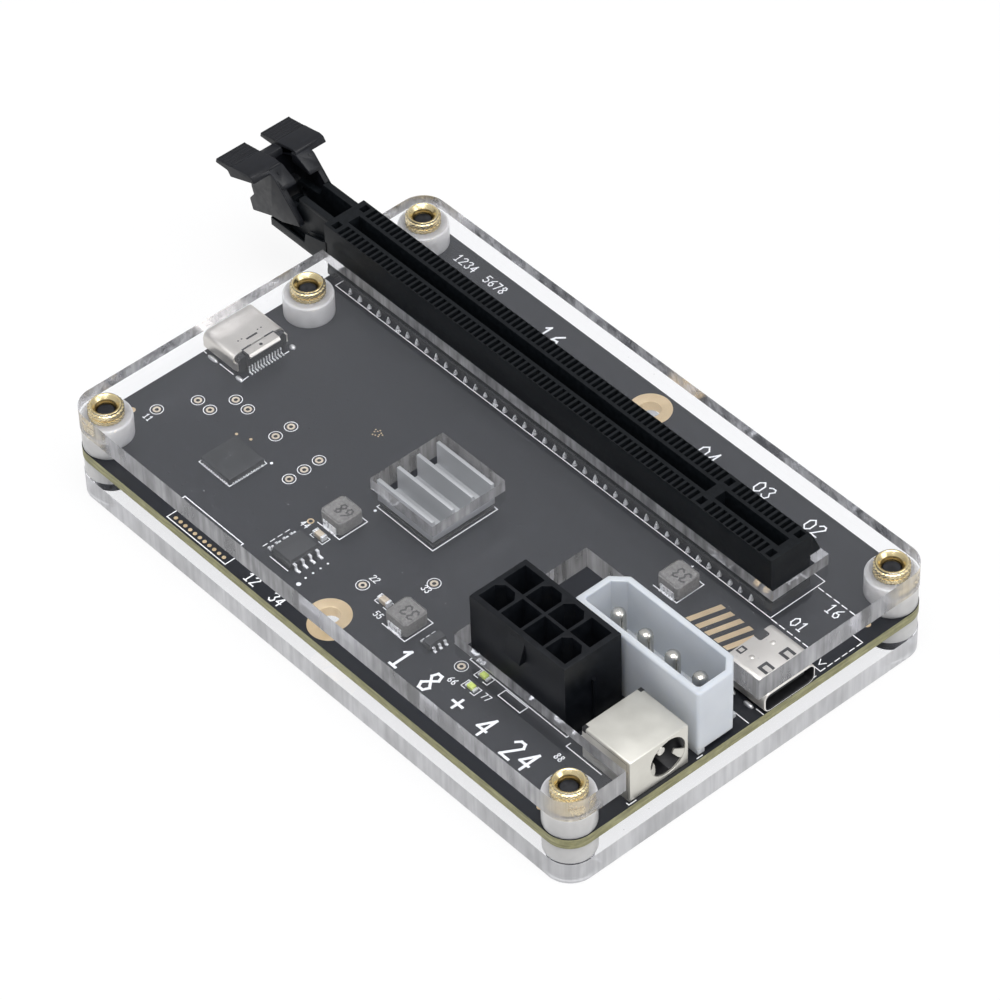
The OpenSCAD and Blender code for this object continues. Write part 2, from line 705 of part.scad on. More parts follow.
module inductor_terminals() {
  color([0.72, 0.72, 0.72]) for (p = COILS, s = [-1, 1])
    translate([p[0], p[1], z_b1]) union() {
      bx([-1.3, min(s*1.4, s*2.45), 0], [1.3, max(s*1.4, s*2.45), 0.15]);
      bx([-1.3, min(s*2.05, s*2.2), 0.1], [1.3, max(s*2.05, s*2.2), 1.2]);
    }
}

module eight_lead_chip() {
  translate([-11.6, -24.2, z_b1]) color([0.1, 0.1, 0.11]) union() {
    bx([-1.95, -2.45, 0.15], [1.95, 2.45, 0.9]);
    bx([-1.8, -2.3, 0.9 - eps], [1.8, 2.3, 1.5]);
  }
}

module eight_lead_chip_leads() {
  color([0.8, 0.8, 0.82]) translate([-11.6, -24.2, z_b1])
    for (i = [0 : 3], s = [-1, 1]) {
      y = (i - 1.5)*1.27;
      translate([0, y, 0]) mirror([s < 0 ? 1 : 0, 0, 0]) union() {
        bx([1.95, -0.2, 0.75], [2.45, 0.2, 0.95]);
        bx([2.3, -0.2, 0.05], [2.5, 0.2, 0.95]);
        bx([2.3, -0.2, 0.0], [3.25, 0.2, 0.2]);
      }
    }
}

module six_lead_chip() {
  translate([13.0, -21.5, z_b1]) color([0.1, 0.1, 0.11]) union() {
    bx([-0.8, -1.45, 0.1], [0.8, 1.45, 0.6]);
    bx([-0.7, -1.35, 0.6 - eps], [0.7, 1.35, 1.05]);
  }
}

module six_lead_chip_leads() {
  color([0.8, 0.8, 0.82]) translate([13.0, -21.5, z_b1])
    for (i = [-1 : 1], s = [0, 1]) mirror([s, 0, 0]) union() {
      y = i*0.95;
      bx([0.8, y - 0.2, 0.45], [1.12, y + 0.2, 0.6]);
      bx([1.0, y - 0.2, 0.05], [1.15, y + 0.2, 0.6]);
      bx([1.0, y - 0.2, 0.0], [1.5, y + 0.2, 0.15]);
    }
}

module square_chip() {
  color([0.1, 0.1, 0.11]) bx([-33.3, -22.4, z_b1 + 0.02],
    [-27.3, -16.4, z_b1 + 0.9]);
}

module square_chip_pads() {
  color([0.8, 0.8, 0.82]) translate([-30.3, -19.4, z_b1])
    for (a = [0 : 90 : 270]) rotate([0, 0, a]) for (i = [0 : 11])
      bx([3.02, (i - 5.5)*0.45 - 0.1, 0], [3.35, (i - 5.5)*0.45 + 0.1, 0.12]);
}

LEDS = [[22.2, -23.2], [21.9, -20.75]];
CAPS = [[-11.7, -19.9], [3.2, -21.5]];

module led_lenses() {
  color([0.75, 0.85, 0.35]) for (p = LEDS) translate([p[0], p[1], z_b1])
    bx([-0.5, -0.4, 0.05], [0.5, 0.4, 0.6]);
}

module led_terminals() {
  color([0.85, 0.85, 0.82]) for (p = LEDS, s = [-1, 1])
    translate([p[0], p[1], z_b1])
      bx([min(s*0.5, s*0.9), -0.4, 0], [max(s*0.5, s*0.9), 0.4, 0.35]);
}

module capacitor_bodies() {
  color([0.6, 0.52, 0.4]) for (p = CAPS) translate([p[0], p[1], z_b1])
    bx([-0.6, -0.45, 0.03], [0.6, 0.45, 0.8]);
}

module capacitor_terminals() {
  color([0.8, 0.8, 0.82]) for (p = CAPS, s = [-1, 1])
    translate([p[0], p[1], z_b1])
      bx([min(s*0.6, s*1.0), -0.45, 0], [max(s*0.6, s*1.0), 0.45, 0.83]);
}

bottom_plate();
top_plate();
lower_spacers();
upper_spacers();
threaded_inserts();
assembly_screws();
circuit_board();
plated_rings();
test_pads();
slot_housing();
slot_contacts_near();
slot_contacts_far();
slot_solder_joints();
latch_lever();
host_port_shell();
host_port_tongue();
host_port_contacts();
power_port_shell();
power_port_tongue();
power_port_contacts();
barrel_jack_shield();
barrel_jack_body();
barrel_jack_pin();
cpu_power_header();
cpu_power_pins();
drive_power_header();
drive_power_pins();
controller_chip();
thermal_pad();
heatsink();
inductor_bodies();
inductor_terminals();
eight_lead_chip();
eight_lead_chip_leads();
six_lead_chip();
six_lead_chip_leads();
square_chip();
square_chip_pads();
led_lenses();
led_terminals();
capacitor_bodies();
capacitor_terminals();
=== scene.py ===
"""Looks for the open-frame expansion card dock. Pieces are drawn in millimetres in the CAD frame and scaled to metres."""

import math
import random

import bmesh
import bpy
from mathutils import Matrix, Vector
from mathutils.geometry import tessellate_polygon


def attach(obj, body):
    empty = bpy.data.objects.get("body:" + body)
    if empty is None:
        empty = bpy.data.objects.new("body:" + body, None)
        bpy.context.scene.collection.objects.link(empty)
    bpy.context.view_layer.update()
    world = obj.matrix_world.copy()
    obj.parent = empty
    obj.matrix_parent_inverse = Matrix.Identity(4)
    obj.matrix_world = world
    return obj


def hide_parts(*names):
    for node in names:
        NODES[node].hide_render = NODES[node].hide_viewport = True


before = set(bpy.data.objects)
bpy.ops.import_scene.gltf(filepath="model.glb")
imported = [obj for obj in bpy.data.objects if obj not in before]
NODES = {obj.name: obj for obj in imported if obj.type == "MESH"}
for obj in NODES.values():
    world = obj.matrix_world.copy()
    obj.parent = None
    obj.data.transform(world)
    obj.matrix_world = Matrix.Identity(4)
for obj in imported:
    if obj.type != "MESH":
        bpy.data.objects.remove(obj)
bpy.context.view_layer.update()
MM = 0.001
rnd = random.Random(11)

# ---------------------------------------------------------------- sizes, mm
Z_B0, Z_B1, Z_T0, Z_T1 = 6.5, 8.1, 11.6, 15.1
HX, HY, RC = 49.8, 31.7, 3.7
SCREWS = [(-46.1, -28.0), (-46.1, 7.2), (-46.1, 28.0), (46.1, 28.0), (46.1, -28.0)]
RINGS = [(0.0, -28.2), (0.0, 28.2)]
SPOTS = [(-45.2, -20.4), (-42.8, -15.2), (-40.25, -15.2), (-39.4, -11.4), (-36.85, -11.4),
         (-30.3, -9.3), (-30.3, -12.0), (-22.8, -10.7), (-22.8, -13.3), (-22.8, -15.9),
         (-1.2, -21.5), (4.9, -14.5), (18.45, -21.65)]

# ---------------------------------------------------------------- materials


class Mat:
    """A node material with a few shorthands."""

    def __init__(self, name):
        self.m = bpy.data.materials.new(name)
        self.m.use_nodes = True
        self.nt = self.m.node_tree
        self.nt.nodes.clear()
        self.out = self.n("ShaderNodeOutputMaterial")
        self.co = self.n("ShaderNodeTexCoord")

    def n(self, kind, **props):
        node = self.nt.nodes.new(kind)
        for k, v in props.items():
            setattr(node, k, v)
        return node

    def link(self, a, b):
        self.nt.links.new(a, b)

    def noise(self, scale, detail=3.0, rough=0.55, stretch=None):
        tex = self.n("ShaderNodeTexNoise")
        tex.inputs["Scale"].default_value = scale
        tex.inputs["Detail"].default_value = detail
        tex.inputs["Roughness"].default_value = rough
        if stretch:
            mp = self.n("ShaderNodeMapping")
            mp.inputs["Scale"].default_value = stretch
            self.link(self.co.outputs["Object"], mp.inputs["Vector"])
            self.link(mp.outputs["Vector"], tex.inputs["Vector"])
        else:
            self.link(self.co.outputs["Object"], tex.inputs["Vector"])
        return tex.outputs["Fac"]

    def cells(self, scale, feature="F1"):
        tex = self.n("ShaderNodeTexVoronoi", feature=feature)
        tex.inputs["Scale"].default_value = scale
        self.link(self.co.outputs["Object"], tex.inputs["Vector"])
        return tex.outputs["Distance"]

    def ramp(self, fac, stops):
        r = self.n("ShaderNodeValToRGB")
        el = r.color_ramp.elements
        while len(el) > len(stops):
            el.remove(el[-1])
        while len(el) < len(stops):
            el.new(0.5)
        for e, (p, c) in zip(el, stops):
            e.position = p
            e.color = (*c, 1.0) if len(c) == 3 else c
        self.link(fac, r.inputs["Fac"])
        return r.outputs["Color"]

    def span(self, fac, lo, hi, f0=0.3, f1=0.7):
        r = self.n("ShaderNodeMapRange")
        r.inputs["From Min"].default_value = f0
        r.inputs["From Max"].default_value = f1
        r.inputs["To Min"].default_value = lo
        r.inputs["To Max"].default_value = hi
        self.link(fac, r.inputs["Value"])
        return r.outputs["Result"]

    def bump(self, height, strength, dist):
        b = self.n("ShaderNodeBump")
        b.inputs["Strength"].default_value = strength
        b.inputs["Distance"].default_value = dist
        self.link(height, b.inputs["Height"])
        return b.outputs["Normal"]


def surface(name, c0, c1=None, rough=(0.35, 0.5), metal=0.0, scale=900.0, detail=3.0, bump=0.15, dist=2e-5,
            bscale=None, stretch=None, spec=0.5, sss=None, coat=0.0, ior=1.5):
    """Opaque principled surface: colour, roughness and relief all vary with noise."""
    s = Mat(name)
    p = s.n("ShaderNodeBsdfPrincipled")
    p.inputs["Metallic"].default_value = metal
    p.inputs["IOR"].default_value = ior
    p.inputs["Specular IOR Level"].default_value = spec
    if coat:
        p.inputs["Coat Weight"].default_value = coat
        p.inputs["Coat Roughness"].default_value = 0.15
    if sss:
        p.inputs["Subsurface Weight"].default_value = sss[0]
        p.inputs["Subsurface Radius"].default_value = sss[1]
        p.inputs["Subsurface Scale"].default_value = sss[2]
    tex = s.noise(scale, detail, 0.55, stretch)
    c1 = c1 or tuple(min(1.0, v * 1.18 + 0.002) for v in c0)
    s.link(s.ramp(tex, [(0.3, c0), (0.7, c1)]), p.inputs["Base Color"])
    s.link(s.span(tex, rough[0], rough[1]), p.inputs["Roughness"])
    if bump:
        fine = s.noise(bscale or scale * 3.0, 2.0, 0.5, stretch)
        s.link(s.bump(fine, bump, dist), p.inputs["Normal"])
    s.link(p.outputs[0], s.out.inputs["Surface"])
    return s.m


def see_through(s, shader, shade):
    """Lets shadow rays pass, tinted."""
    lp = s.n("ShaderNodeLightPath")
    tr = s.n("ShaderNodeBsdfTransparent")
    tr.inputs["Color"].default_value = (*shade, 1.0)
    mix = s.n("ShaderNodeMixShader")
    s.link(lp.outputs["Is Shadow Ray"], mix.inputs[0])
    s.link(shader, mix.inputs[1])
    s.link(tr.outputs[0], mix.inputs[2])
    s.link(mix.outputs[0], s.out.inputs["Surface"])


def clear_face():
    s = Mat("clear_face")
    g = s.n("ShaderNodeBsdfGlass")
    g.inputs["Color"].default_value = (0.985, 0.987, 0.995, 1)
    g.inputs["IOR"].default_value = 1.49
    g.inputs["Roughness"].default_value = 0.0
    dust = s.n("ShaderNodeBsdfDiffuse")
    dust.inputs["Color"].default_value = (0.75, 0.76, 0.78, 1)
    specks = s.cells(620.0)
    mask = s.span(specks, 1.0, 0.0, 0.0, 0.055)
    thin = s.span(s.noise(55.0, 1.0), 0.0, 1.0, 0.56, 0.6)
    mul = s.n("ShaderNodeMath", operation="MULTIPLY", use_clamp=True)
    s.link(mask, mul.inputs[0])
    s.link(thin, mul.inputs[1])
    mix = s.n("ShaderNodeMixShader")
    s.link(mul.outputs[0], mix.inputs[0])
    s.link(g.outputs[0], mix.inputs[1])
    s.link(dust.outputs[0], mix.inputs[2])
    see_through(s, mix.outputs[0], (0.9, 0.9, 0.92))
    return s.m


def clear_edge(name, lo, hi, dark, pale, rough=0.2, spots=170.0):
    """Sawn edge of the clear sheet: upright striations, partly frosted."""
    s = Mat(name)
    g = s.n("ShaderNodeBsdfGlass")
    g.inputs["Color"].default_value = (0.93, 0.93, 0.95, 1)
    g.inputs["IOR"].default_value = 1.49
    streak = s.noise(1100.0, 2.0, 0.6, (1.0, 1.0, 0.05))
    blotch = s.noise(spots, 3.0, 0.6, (1.0, 1.0, 0.4))
    s.link(s.span(blotch, rough * 0.4, rough, 0.35, 0.65), g.inputs["Roughness"])
    s.link(s.bump(streak, 0.12, 1e-5), g.inputs["Normal"])
    d = s.n("ShaderNodeBsdfDiffuse")
    s.link(s.ramp(streak, [(0.3, dark), (0.7, pale)]), d.inputs["Color"])
    tl = s.n("ShaderNodeBsdfTranslucent")
    tl.inputs["Color"].default_value = (0.78, 0.78, 0.8, 1)
    soft = s.n("ShaderNodeMixShader")
    soft.inputs[0].default_value = 0.3
    s.link(d.outputs[0], soft.inputs[1])
    s.link(tl.outputs[0], soft.inputs[2])
    mix = s.n("ShaderNodeMixShader")
    s.link(s.span(blotch, lo, hi, 0.38, 0.62), mix.inputs[0])
    s.link(g.outputs[0], mix.inputs[1])
    s.link(soft.outputs[0], mix.inputs[2])
    see_through(s, mix.outputs[0], (0.88, 0.88, 0.9))
    return s.m


def board_edge():
    s = Mat("board_edge")
    p = s.n("ShaderNodeBsdfPrincipled")
    layers = s.noise(2600.0, 2.0, 0.5, (0.12, 0.12, 1.0))
    flecks = s.noise(1500.0, 3.0, 0.6)
    mixc = s.n("ShaderNodeMix", data_type="RGBA", blend_type="MULTIPLY")
    mixc.inputs["Factor"].default_value = 0.7
    s.link(s.ramp(layers, [(0.3, (0.19, 0.18, 0.075)), (0.7, (0.36, 0.35, 0.19))]), mixc.inputs["A"])
    s.link(s.ramp(flecks, [(0.35, (0.6, 0.6, 0.55)), (0.65, (1.0, 1.0, 1.0))]), mixc.inputs["B"])
    s.link(mixc.outputs["Result"], p.inputs["Base Color"])
    s.link(s.span(flecks, 0.45, 0.7), p.inputs["Roughness"])
    s.link(s.bump(layers, 0.3, 3e-5), p.inputs["Normal"])
    s.link(p.outputs[0], s.out.inputs["Surface"])
    return s.m


M = {
    "clear_face": clear_face(),
    "clear_edge": clear_edge("clear_edge", 0.22, 0.6, (0.34, 0.34, 0.35), (0.72, 0.72, 0.73)),
    "clear_cut": clear_edge("clear_cut", 0.22, 0.5, (0.3, 0.29, 0.275), (0.85, 0.845, 0.84), 0.1),
    # darker copy of the edge material for the far outer edges: painted shade
    "clear_far_painted_shade": clear_edge("clear_far_painted_shade", 0.0, 0.5, (0.1, 0.1, 0.1), (0.62, 0.62, 0.63), 0.34, 320.0),
    # paler, more frosted copy of the edge material for the lower plate: painted light from the floor beneath
    "clear_low_painted_light": clear_edge("clear_low_painted_light", 0.6, 0.82, (0.72, 0.72, 0.735), (0.93, 0.93, 0.94)),
    "board_edge": board_edge(),
    "mask": surface("board_mask", (0.0045, 0.0055, 0.0085), (0.0062, 0.0072, 0.0105), (0.34, 0.4), scale=60.0, bump=0.0),
    "print": surface("board_print_white", (0.72, 0.73, 0.74), (0.82, 0.83, 0.83), (0.5, 0.65), scale=1500.0, bump=0.1),
    "gold": surface("gold_plate", (0.76, 0.58, 0.34), (0.84, 0.66, 0.42), (0.3, 0.42), metal=0.85, scale=700.0,
                    bump=0.08, dist=1e-5),
    "gold_pad": surface("pad_gold", (0.6, 0.52, 0.4), (0.72, 0.63, 0.5), (0.3, 0.42), metal=0.5, scale=900.0, bump=0.05),
    "gold_fine": surface("contact_gold", (0.8, 0.6, 0.28), (0.9, 0.7, 0.36), (0.2, 0.3), metal=1.0, scale=1600.0, bump=0.05),
    "brass": surface("insert_brass", (0.82, 0.66, 0.34), (0.93, 0.79, 0.48), (0.16, 0.3), metal=1.0, scale=900.0,
                     bump=0.1, dist=1.5e-5),
    # dark copy of the brass for the bore: painted shade
    "brass_bore_shade": surface("insert_threads_painted_shade", (0.2, 0.15, 0.07), (0.3, 0.23, 0.11), (0.35, 0.5), metal=1.0, scale=900.0,
                          bump=0.1, dist=1e-5),
    "nylon": surface("white_nylon", (0.45, 0.446, 0.44), (0.53, 0.525, 0.518), (0.3, 0.42), scale=260.0, bump=0.04,
                     sss=(1.0, (1.0, 0.98, 0.95), 0.003)),
    "screw": surface("black_steel", (0.02, 0.021, 0.024), (0.05, 0.052, 0.06), (0.28, 0.42), metal=0.7, scale=900.0,
                     bump=0.12),
    "slot": surface("slot_black", (0.0022, 0.0032, 0.0042), (0.0055, 0.007, 0.009), (0.4, 0.52), scale=1300.0,
                    bump=0.15, dist=1e-5, bscale=3200.0, spec=0.2),
    "lever": surface("lever_black", (0.0035, 0.004, 0.0058), (0.0075, 0.0085, 0.012), (0.4, 0.55), scale=900.0,
                     bump=0.15, dist=1e-5, bscale=2600.0, spec=0.36),
    "header": surface("header_black", (0.0028, 0.0036, 0.005), (0.0065, 0.0078, 0.0105), (0.32, 0.46), scale=800.0,
                      bump=0.12, dist=1e-5, bscale=2600.0, spec=0.24),
    "milky": surface("header_natural", (0.5, 0.527, 0.562), (0.565, 0.59, 0.622), (0.38, 0.48), scale=120.0, bump=0.06,
                     sss=(0.5, (0.85, 0.95, 1.15), 0.0014)),
    "nickel": surface("jack_nickel", (0.62, 0.605, 0.55), (0.7, 0.685, 0.63), (0.36, 0.46), metal=0.85, scale=260.0,
                      bump=0.1, dist=6e-6, bscale=900.0),
    "steel": surface("port_steel", (0.63, 0.6, 0.55), (0.71, 0.68, 0.63), (0.34, 0.44), metal=0.9, scale=220.0,
                     bump=0.04, dist=4e-6, bscale=600.0),
    # lighter copy of the port steel for the tube mouths: painted highlight
    "rim": surface("port_rim_painted_highlight", (0.75, 0.74, 0.72), (0.84, 0.83, 0.81), (0.22, 0.3), metal=1.0, scale=400.0, bump=0.03,
                   dist=4e-6),
    "pin": surface("pin_tin", (0.6, 0.585, 0.54), (0.72, 0.705, 0.66), (0.2, 0.3), metal=1.0, scale=900.0, bump=0.06,
                   stretch=(1, 1, 0.15)),
    "solder": surface("solder_tin", (0.72, 0.725, 0.73), (0.88, 0.885, 0.89), (0.22, 0.36), metal=0.6, scale=1800.0,
                      bump=0.15, dist=1e-5),
    # black insulator plastic, also laid as painted shade inside the port tubes and in their roof openings
    "dark_plastic_and_shade": surface("insulator_black", (0.006, 0.006, 0.007), (0.012, 0.012, 0.014), (0.4, 0.55), scale=1200.0,
                            bump=0.12),
    # black fill for the test point holes: painted shade
    "hole_shade": surface("hole_painted_shade", (0.002, 0.002, 0.0025), (0.004, 0.004, 0.005), (0.6, 0.8), scale=900.0, bump=0.1),
    "chip": surface("chip_black", (0.014, 0.0145, 0.016), (0.028, 0.029, 0.031), (0.45, 0.6), scale=2200.0, bump=0.3,
                    dist=2e-5),
    "chip_dark": surface("square_chip_black", (0.01, 0.011, 0.012), (0.02, 0.021, 0.023), (0.32, 0.45), scale=1600.0,
                         bump=0.15),
    "pad": surface("pad_grey", (0.42, 0.45, 0.48), (0.5, 0.53, 0.56), (0.6, 0.75), scale=900.0, bump=0.2),
    "sink": surface("sink_aluminium", (0.42, 0.43, 0.445), (0.5, 0.51, 0.525), (0.42, 0.55), metal=0.55, scale=300.0,
                    bump=0.12, dist=8e-6, bscale=900.0, stretch=(0.08, 1.0, 1.0)),
    "coil": surface("inductor_grey", (0.105, 0.102, 0.096), (0.19, 0.185, 0.175), (0.5, 0.7), scale=2600.0, bump=0.4,
                    dist=2e-5, bscale=5200.0),
    "coil_ink": surface("inductor_mark", (0.03, 0.029, 0.028), (0.05, 0.049, 0.047), (0.5, 0.7), scale=2600.0, bump=0.2),
    "led": surface("led_green", (0.42, 0.52, 0.1), (0.58, 0.68, 0.2), (0.2, 0.3), scale=1500.0, bump=0.05,
                   sss=(0.5, (1.0, 1.2, 0.3), 0.0004)),
    "cap": surface("capacitor_tan", (0.36, 0.3, 0.22), (0.5, 0.43, 0.33), (0.4, 0.55), scale=1800.0, bump=0.2),
    "tin_dull": surface("terminal_tin", (0.55, 0.55, 0.55), (0.68, 0.68, 0.67), (0.32, 0.5), metal=0.85, scale=1600.0,
                        bump=0.2),
}

# ---------------------------------------------------------------- mesh code


def arc(cx, cy, r, a0, a1, n):
    return [(cx + r * math.cos(math.radians(a0 + (a1 - a0) * i / n)),
             cy + r * math.sin(math.radians(a0 + (a1 - a0) * i / n))) for i in range(n + 1)]


def rounded(x0, y0, x1, y1, r, n=8):
    return (arc(x1 - r, y0 + r, r, -90, 0, n) + arc(x1 - r, y1 - r, r, 0, 90, n)
            + arc(x0 + r, y1 - r, r, 90, 180, n) + arc(x0 + r, y0 + r, r, 180, 270, n))


def ring(cx, cy, r, n=48):
    return [(cx + r * math.cos(2 * math.pi * i / n), cy + r * math.sin(2 * math.pi * i / n)) for i in range(n)]


def rect(x0, y0, x1, y1):
    return [(x0, y0), (x1, y0), (x1, y1), (x0, y1)]


def offset(loop, d):
    """The loop drawn in by d on every side (out when d is negative)."""
    n = len(loop)
    turn = sum(loop[i][0] * loop[(i + 1) % n][1] - loop[(i + 1) % n][0] * loop[i][1] for i in range(n))
    sg = 1.0 if turn > 0 else -1.0
    out = []
    for i in range(n):
        p0, p1, p2 = Vector(loop[i - 1]), Vector(loop[i]), Vector(loop[(i + 1) % n])
        a, b = (p1 - p0).normalized(), (p2 - p1).normalized()
        na, nb = Vector((-a.y, a.x)) * sg, Vector((-b.y, b.x)) * sg
        q = p1 + (na + nb) * (d / max(1.0 + na.dot(nb), 0.4))
        out.append((q.x, q.y))
    return out


XY = lambda u, v, w: (u, v, w)
XZ = lambda u, v, w: (u, w, v)
YZ = lambda u, v, w: (w, u, v)


class Shape:
    def __init__(self):
        self.bm = bmesh.new()
        self.mi = 0
        self.strokes = 0

    def face(self, vs, mi=None):
        try:
            f = self.bm.faces.new(vs)
        except ValueError:
            return None
        f.material_index = self.mi if mi is None else mi
        return f

    def prism(self, loop, w0, w1, holes=(), place=XY, cap=None, wall=None, hole_wall=None):
        """Closed prism over a plan loop with holes, between two heights."""
        loops = [loop] + list(holes)
        low = [[self.bm.verts.new(place(u, v, w0)) for u, v in lp] for lp in loops]
        high = [[self.bm.verts.new(place(u, v, w1)) for u, v in lp] for lp in loops]
        for k, (a, b) in enumerate(zip(low, high)):
            for i in range(len(a)):
                j = (i + 1) % len(a)
                self.face([a[i], a[j], b[j], b[i]], wall if k == 0 or hole_wall is None else hole_wall)
        if holes:
            tris = tessellate_polygon([[Vector((u, v, 0)) for u, v in lp] for lp in loops])
            fl = [v for lp in low for v in lp]
            fh = [v for lp in high for v in lp]
            for t in tris:
                self.face([fl[i] for i in t], cap)
                self.face([fh[i] for i in t], cap)
        else:
            self.face(list(reversed(low[0])), cap)
            self.face(high[0], cap)
        return self

    def rings(self, loop, levels, place, mi=None):
        """Skin through copies of a loop at several offsets and heights; first and last ring come back."""
        rows, flat = [], []
        for off, w in levels:
            pts = offset(loop, off) if abs(off) > 1e-9 else list(loop)
            flat.append(pts)
            rows.append([self.bm.verts.new(place(u, v, w)) for u, v in pts])
        for a, b in zip(rows, rows[1:]):
            for i in range(len(a)):
                j = (i + 1) % len(a)
                self.face([a[i], a[j], b[j], b[i]], mi)
        return (rows[0], flat[0]), (rows[-1], flat[-1])

    def cap(self, parts, mi=None):
        """Flat face over a ring with holes; parts = [(verts, points)]."""
        if len(parts) == 1 and len(parts[0][0]) > 2:
            self.face(parts[0][0], mi)
            return
        tris = tessellate_polygon([[Vector((u, v, 0)) for u, v in pts] for _, pts in parts])
        vs = [v for row, _ in parts for v in row]
        for tr in tris:
            self.face([vs[i] for i in tr], mi)

    def block(self, loop, w0, w1, holes=(), top=0.12, low=0.0, lip=0.06, floor=None, place=XY, seg=2, steps=()):
        """Moulded block: rounded rim, rounded hole mouths, blind holes down to floor."""
        lev = []
        if low:
            for k in range(seg):
                a = math.radians(90 * k / seg)
                lev.append((low * (1 - math.sin(a)), w0 + low * (1 - math.cos(a))))
            lev.append((0.0, w0 + low))
        else:
            lev.append((steps[0][0] if steps else 0.0, w0))
        lev += list(steps)
        for k in range(seg + 1):
            a = math.radians(90 * k / seg)
            lev.append((top * (1 - math.cos(a)), w1 - top + top * math.sin(a)))
        b0, b1 = self.rings(loop, lev, place)
        tops, lows = [b1], [b0]
        for h in holes:
            hl = [(0.0, w0 if floor is None else floor)]
            for k in range(seg + 1):
                a = math.radians(90 * k / seg)
                hl.append((-lip * (1 - math.cos(a)), w1 - lip + lip * math.sin(a)))
            h0, h1 = self.rings(h, hl, place)
            tops.append(h1)
            if floor is None:
                lows.append(h0)
            else:
                self.cap([h0])
        self.cap(tops)
        self.cap(lows)
        return self

    def dome(self, cx, cy, z, lx, ly, h, n=20, rows=5):
        """Flattened dome, closed underneath."""
        ring_ = []
        for k in range(rows):
            a = math.radians(90 * k / rows)
            ring_.append([self.bm.verts.new((cx + lx * math.cos(a) * math.cos(2 * math.pi * i / n),
                                             cy + ly * math.cos(a) * math.sin(2 * math.pi * i / n),
                                             z + h * math.sin(a))) for i in range(n)])
        tip = self.bm.verts.new((cx, cy, z + h))
        for a, b in zip(ring_, ring_[1:]):
            for i in range(n):
                j = (i + 1) % n
                self.face([a[i], a[j], b[j], b[i]])
        for i in range(n):
            self.face([ring_[-1][i], ring_[-1][(i + 1) % n], tip])
        self.face(ring_[0])
        return self

    def box(self, x0, y0, z0, x1, y1, z1):
        return self.prism(rect(x0, y0, x1, y1), z0, z1)

    def turn(self, profile, centre, axis="z", n=48, a0=0.0):
        """Revolved closed profile [(r, h)]; r = 0 makes a pole."""
        cx, cy, cz = centre

        def put(r, h, a):
            c, s_ = r * math.cos(a), r * math.sin(a)
            if axis == "z":
                return (cx + c, cy + s_, cz + h)
            if axis == "x":
                return (cx + h, cy + c, cz + s_)
            return (cx + c, cy + h, cz + s_)

        rows = []
        for r, h in profile:
            if r < 1e-6:
                rows.append([self.bm.verts.new(put(0, h, 0))])
            else:
                rows.append([self.bm.verts.new(put(r, h, a0 + 2 * math.pi * i / n)) for i in range(n)])
        pairs = list(zip(rows, rows[1:]))
        if profile[0][0] > 1e-6 and profile[-1][0] > 1e-6:
            pairs.append((rows[-1], rows[0]))
        for a, b in pairs:
            if len(a) == 1 and len(b) == 1:
                continue
            for i in range(n):
                j = (i + 1) % n
                if len(a) == 1:
                    self.face([a[0], b[i], b[j]])
                elif len(b) == 1:
                    self.face([a[i], a[j], b[0]])
                else:
                    self.face([a[i], a[j], b[j], b[i]])
        return self

    def line(self, x0, y0, x1, y1, w=0.15, z0=Z_B1 + 0.004, z1=Z_B1 + 0.026):
        """A printed line on the board."""
        d = Vector((x1 - x0, y1 - y0))
        if d.length < 1e-6:
            return self
        d.normalize()
        e = d * (w / 2)
        n = Vector((-d.y, d.x)) * (w / 2)
        a, b = Vector((x0, y0)) - e, Vector((x1, y1)) + e
        pts = [a - n, b - n, b + n, a + n]
        # crossing strokes never share a face
        self.strokes += 1
        k = (self.strokes % 9) * 0.0022
        return self.prism([(p.x, p.y) for p in pts], z0 + k / 9, z1 + k)

    def path(self, pts, w=0.15, closed=False):
        pts = list(pts)
        if closed:
            pts.append(pts[0])
        for (a, b), (c, d) in zip(pts, pts[1:]):
            self.line(a, b, c, d, w)
        return self

    def dashes(self, x0, y0, x1, y1, on=0.9, off=0.55, w=0.15):
        total = math.hypot(x1 - x0, y1 - y0)
        ux, uy = (x1 - x0) / total, (y1 - y0) / total
        t = 0.0
        while t < total - 0.1:
            e = min(t + on, total)
            self.line(x0 + ux * t, y0 + uy * t, x0 + ux * e, y0 + uy * e, w)
            t += on + off
        return self

    def bevel(self, size, seg=2, angle=30.0, least=None):
        """Rounds the sharp edges."""
        bmesh.ops.remove_doubles(self.bm, verts=self.bm.verts, dist=1e-4)
        bmesh.ops.recalc_face_normals(self.bm, faces=self.bm.faces)
        least = size * 2.2 if least is None else least
        edges = [e for e in self.bm.edges
                 if e.is_manifold and e.calc_length() > least and e.calc_face_angle(0.0) > math.radians(angle)]
        if edges:
            bmesh.ops.bevel(self.bm, geom=edges, offset=size, offset_type="OFFSET", segments=seg, profile=0.5,
                            affect="EDGES", clamp_overlap=False, miter_outer="ARC", material=-1)
        return self


def finish(shape, name, mats, body="chassis", replaces=(), smooth=32.0, scale=MM):
    bm = shape.bm
    bmesh.ops.recalc_face_normals(bm, faces=bm.faces)
    bmesh.ops.scale(bm, vec=(scale, scale, scale), verts=bm.verts)
    me = bpy.data.meshes.new(name)
    bm.to_mesh(me)
    bm.free()
    for m in mats:
        me.materials.append(M[m])
    me.shade_smooth()
    me.set_sharp_from_angle(angle=math.radians(smooth))
    ob = bpy.data.objects.new(name, me)
    bpy.context.scene.collection.objects.link(ob)
    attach(ob, body)
    if replaces:
        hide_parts(*replaces)
    return ob


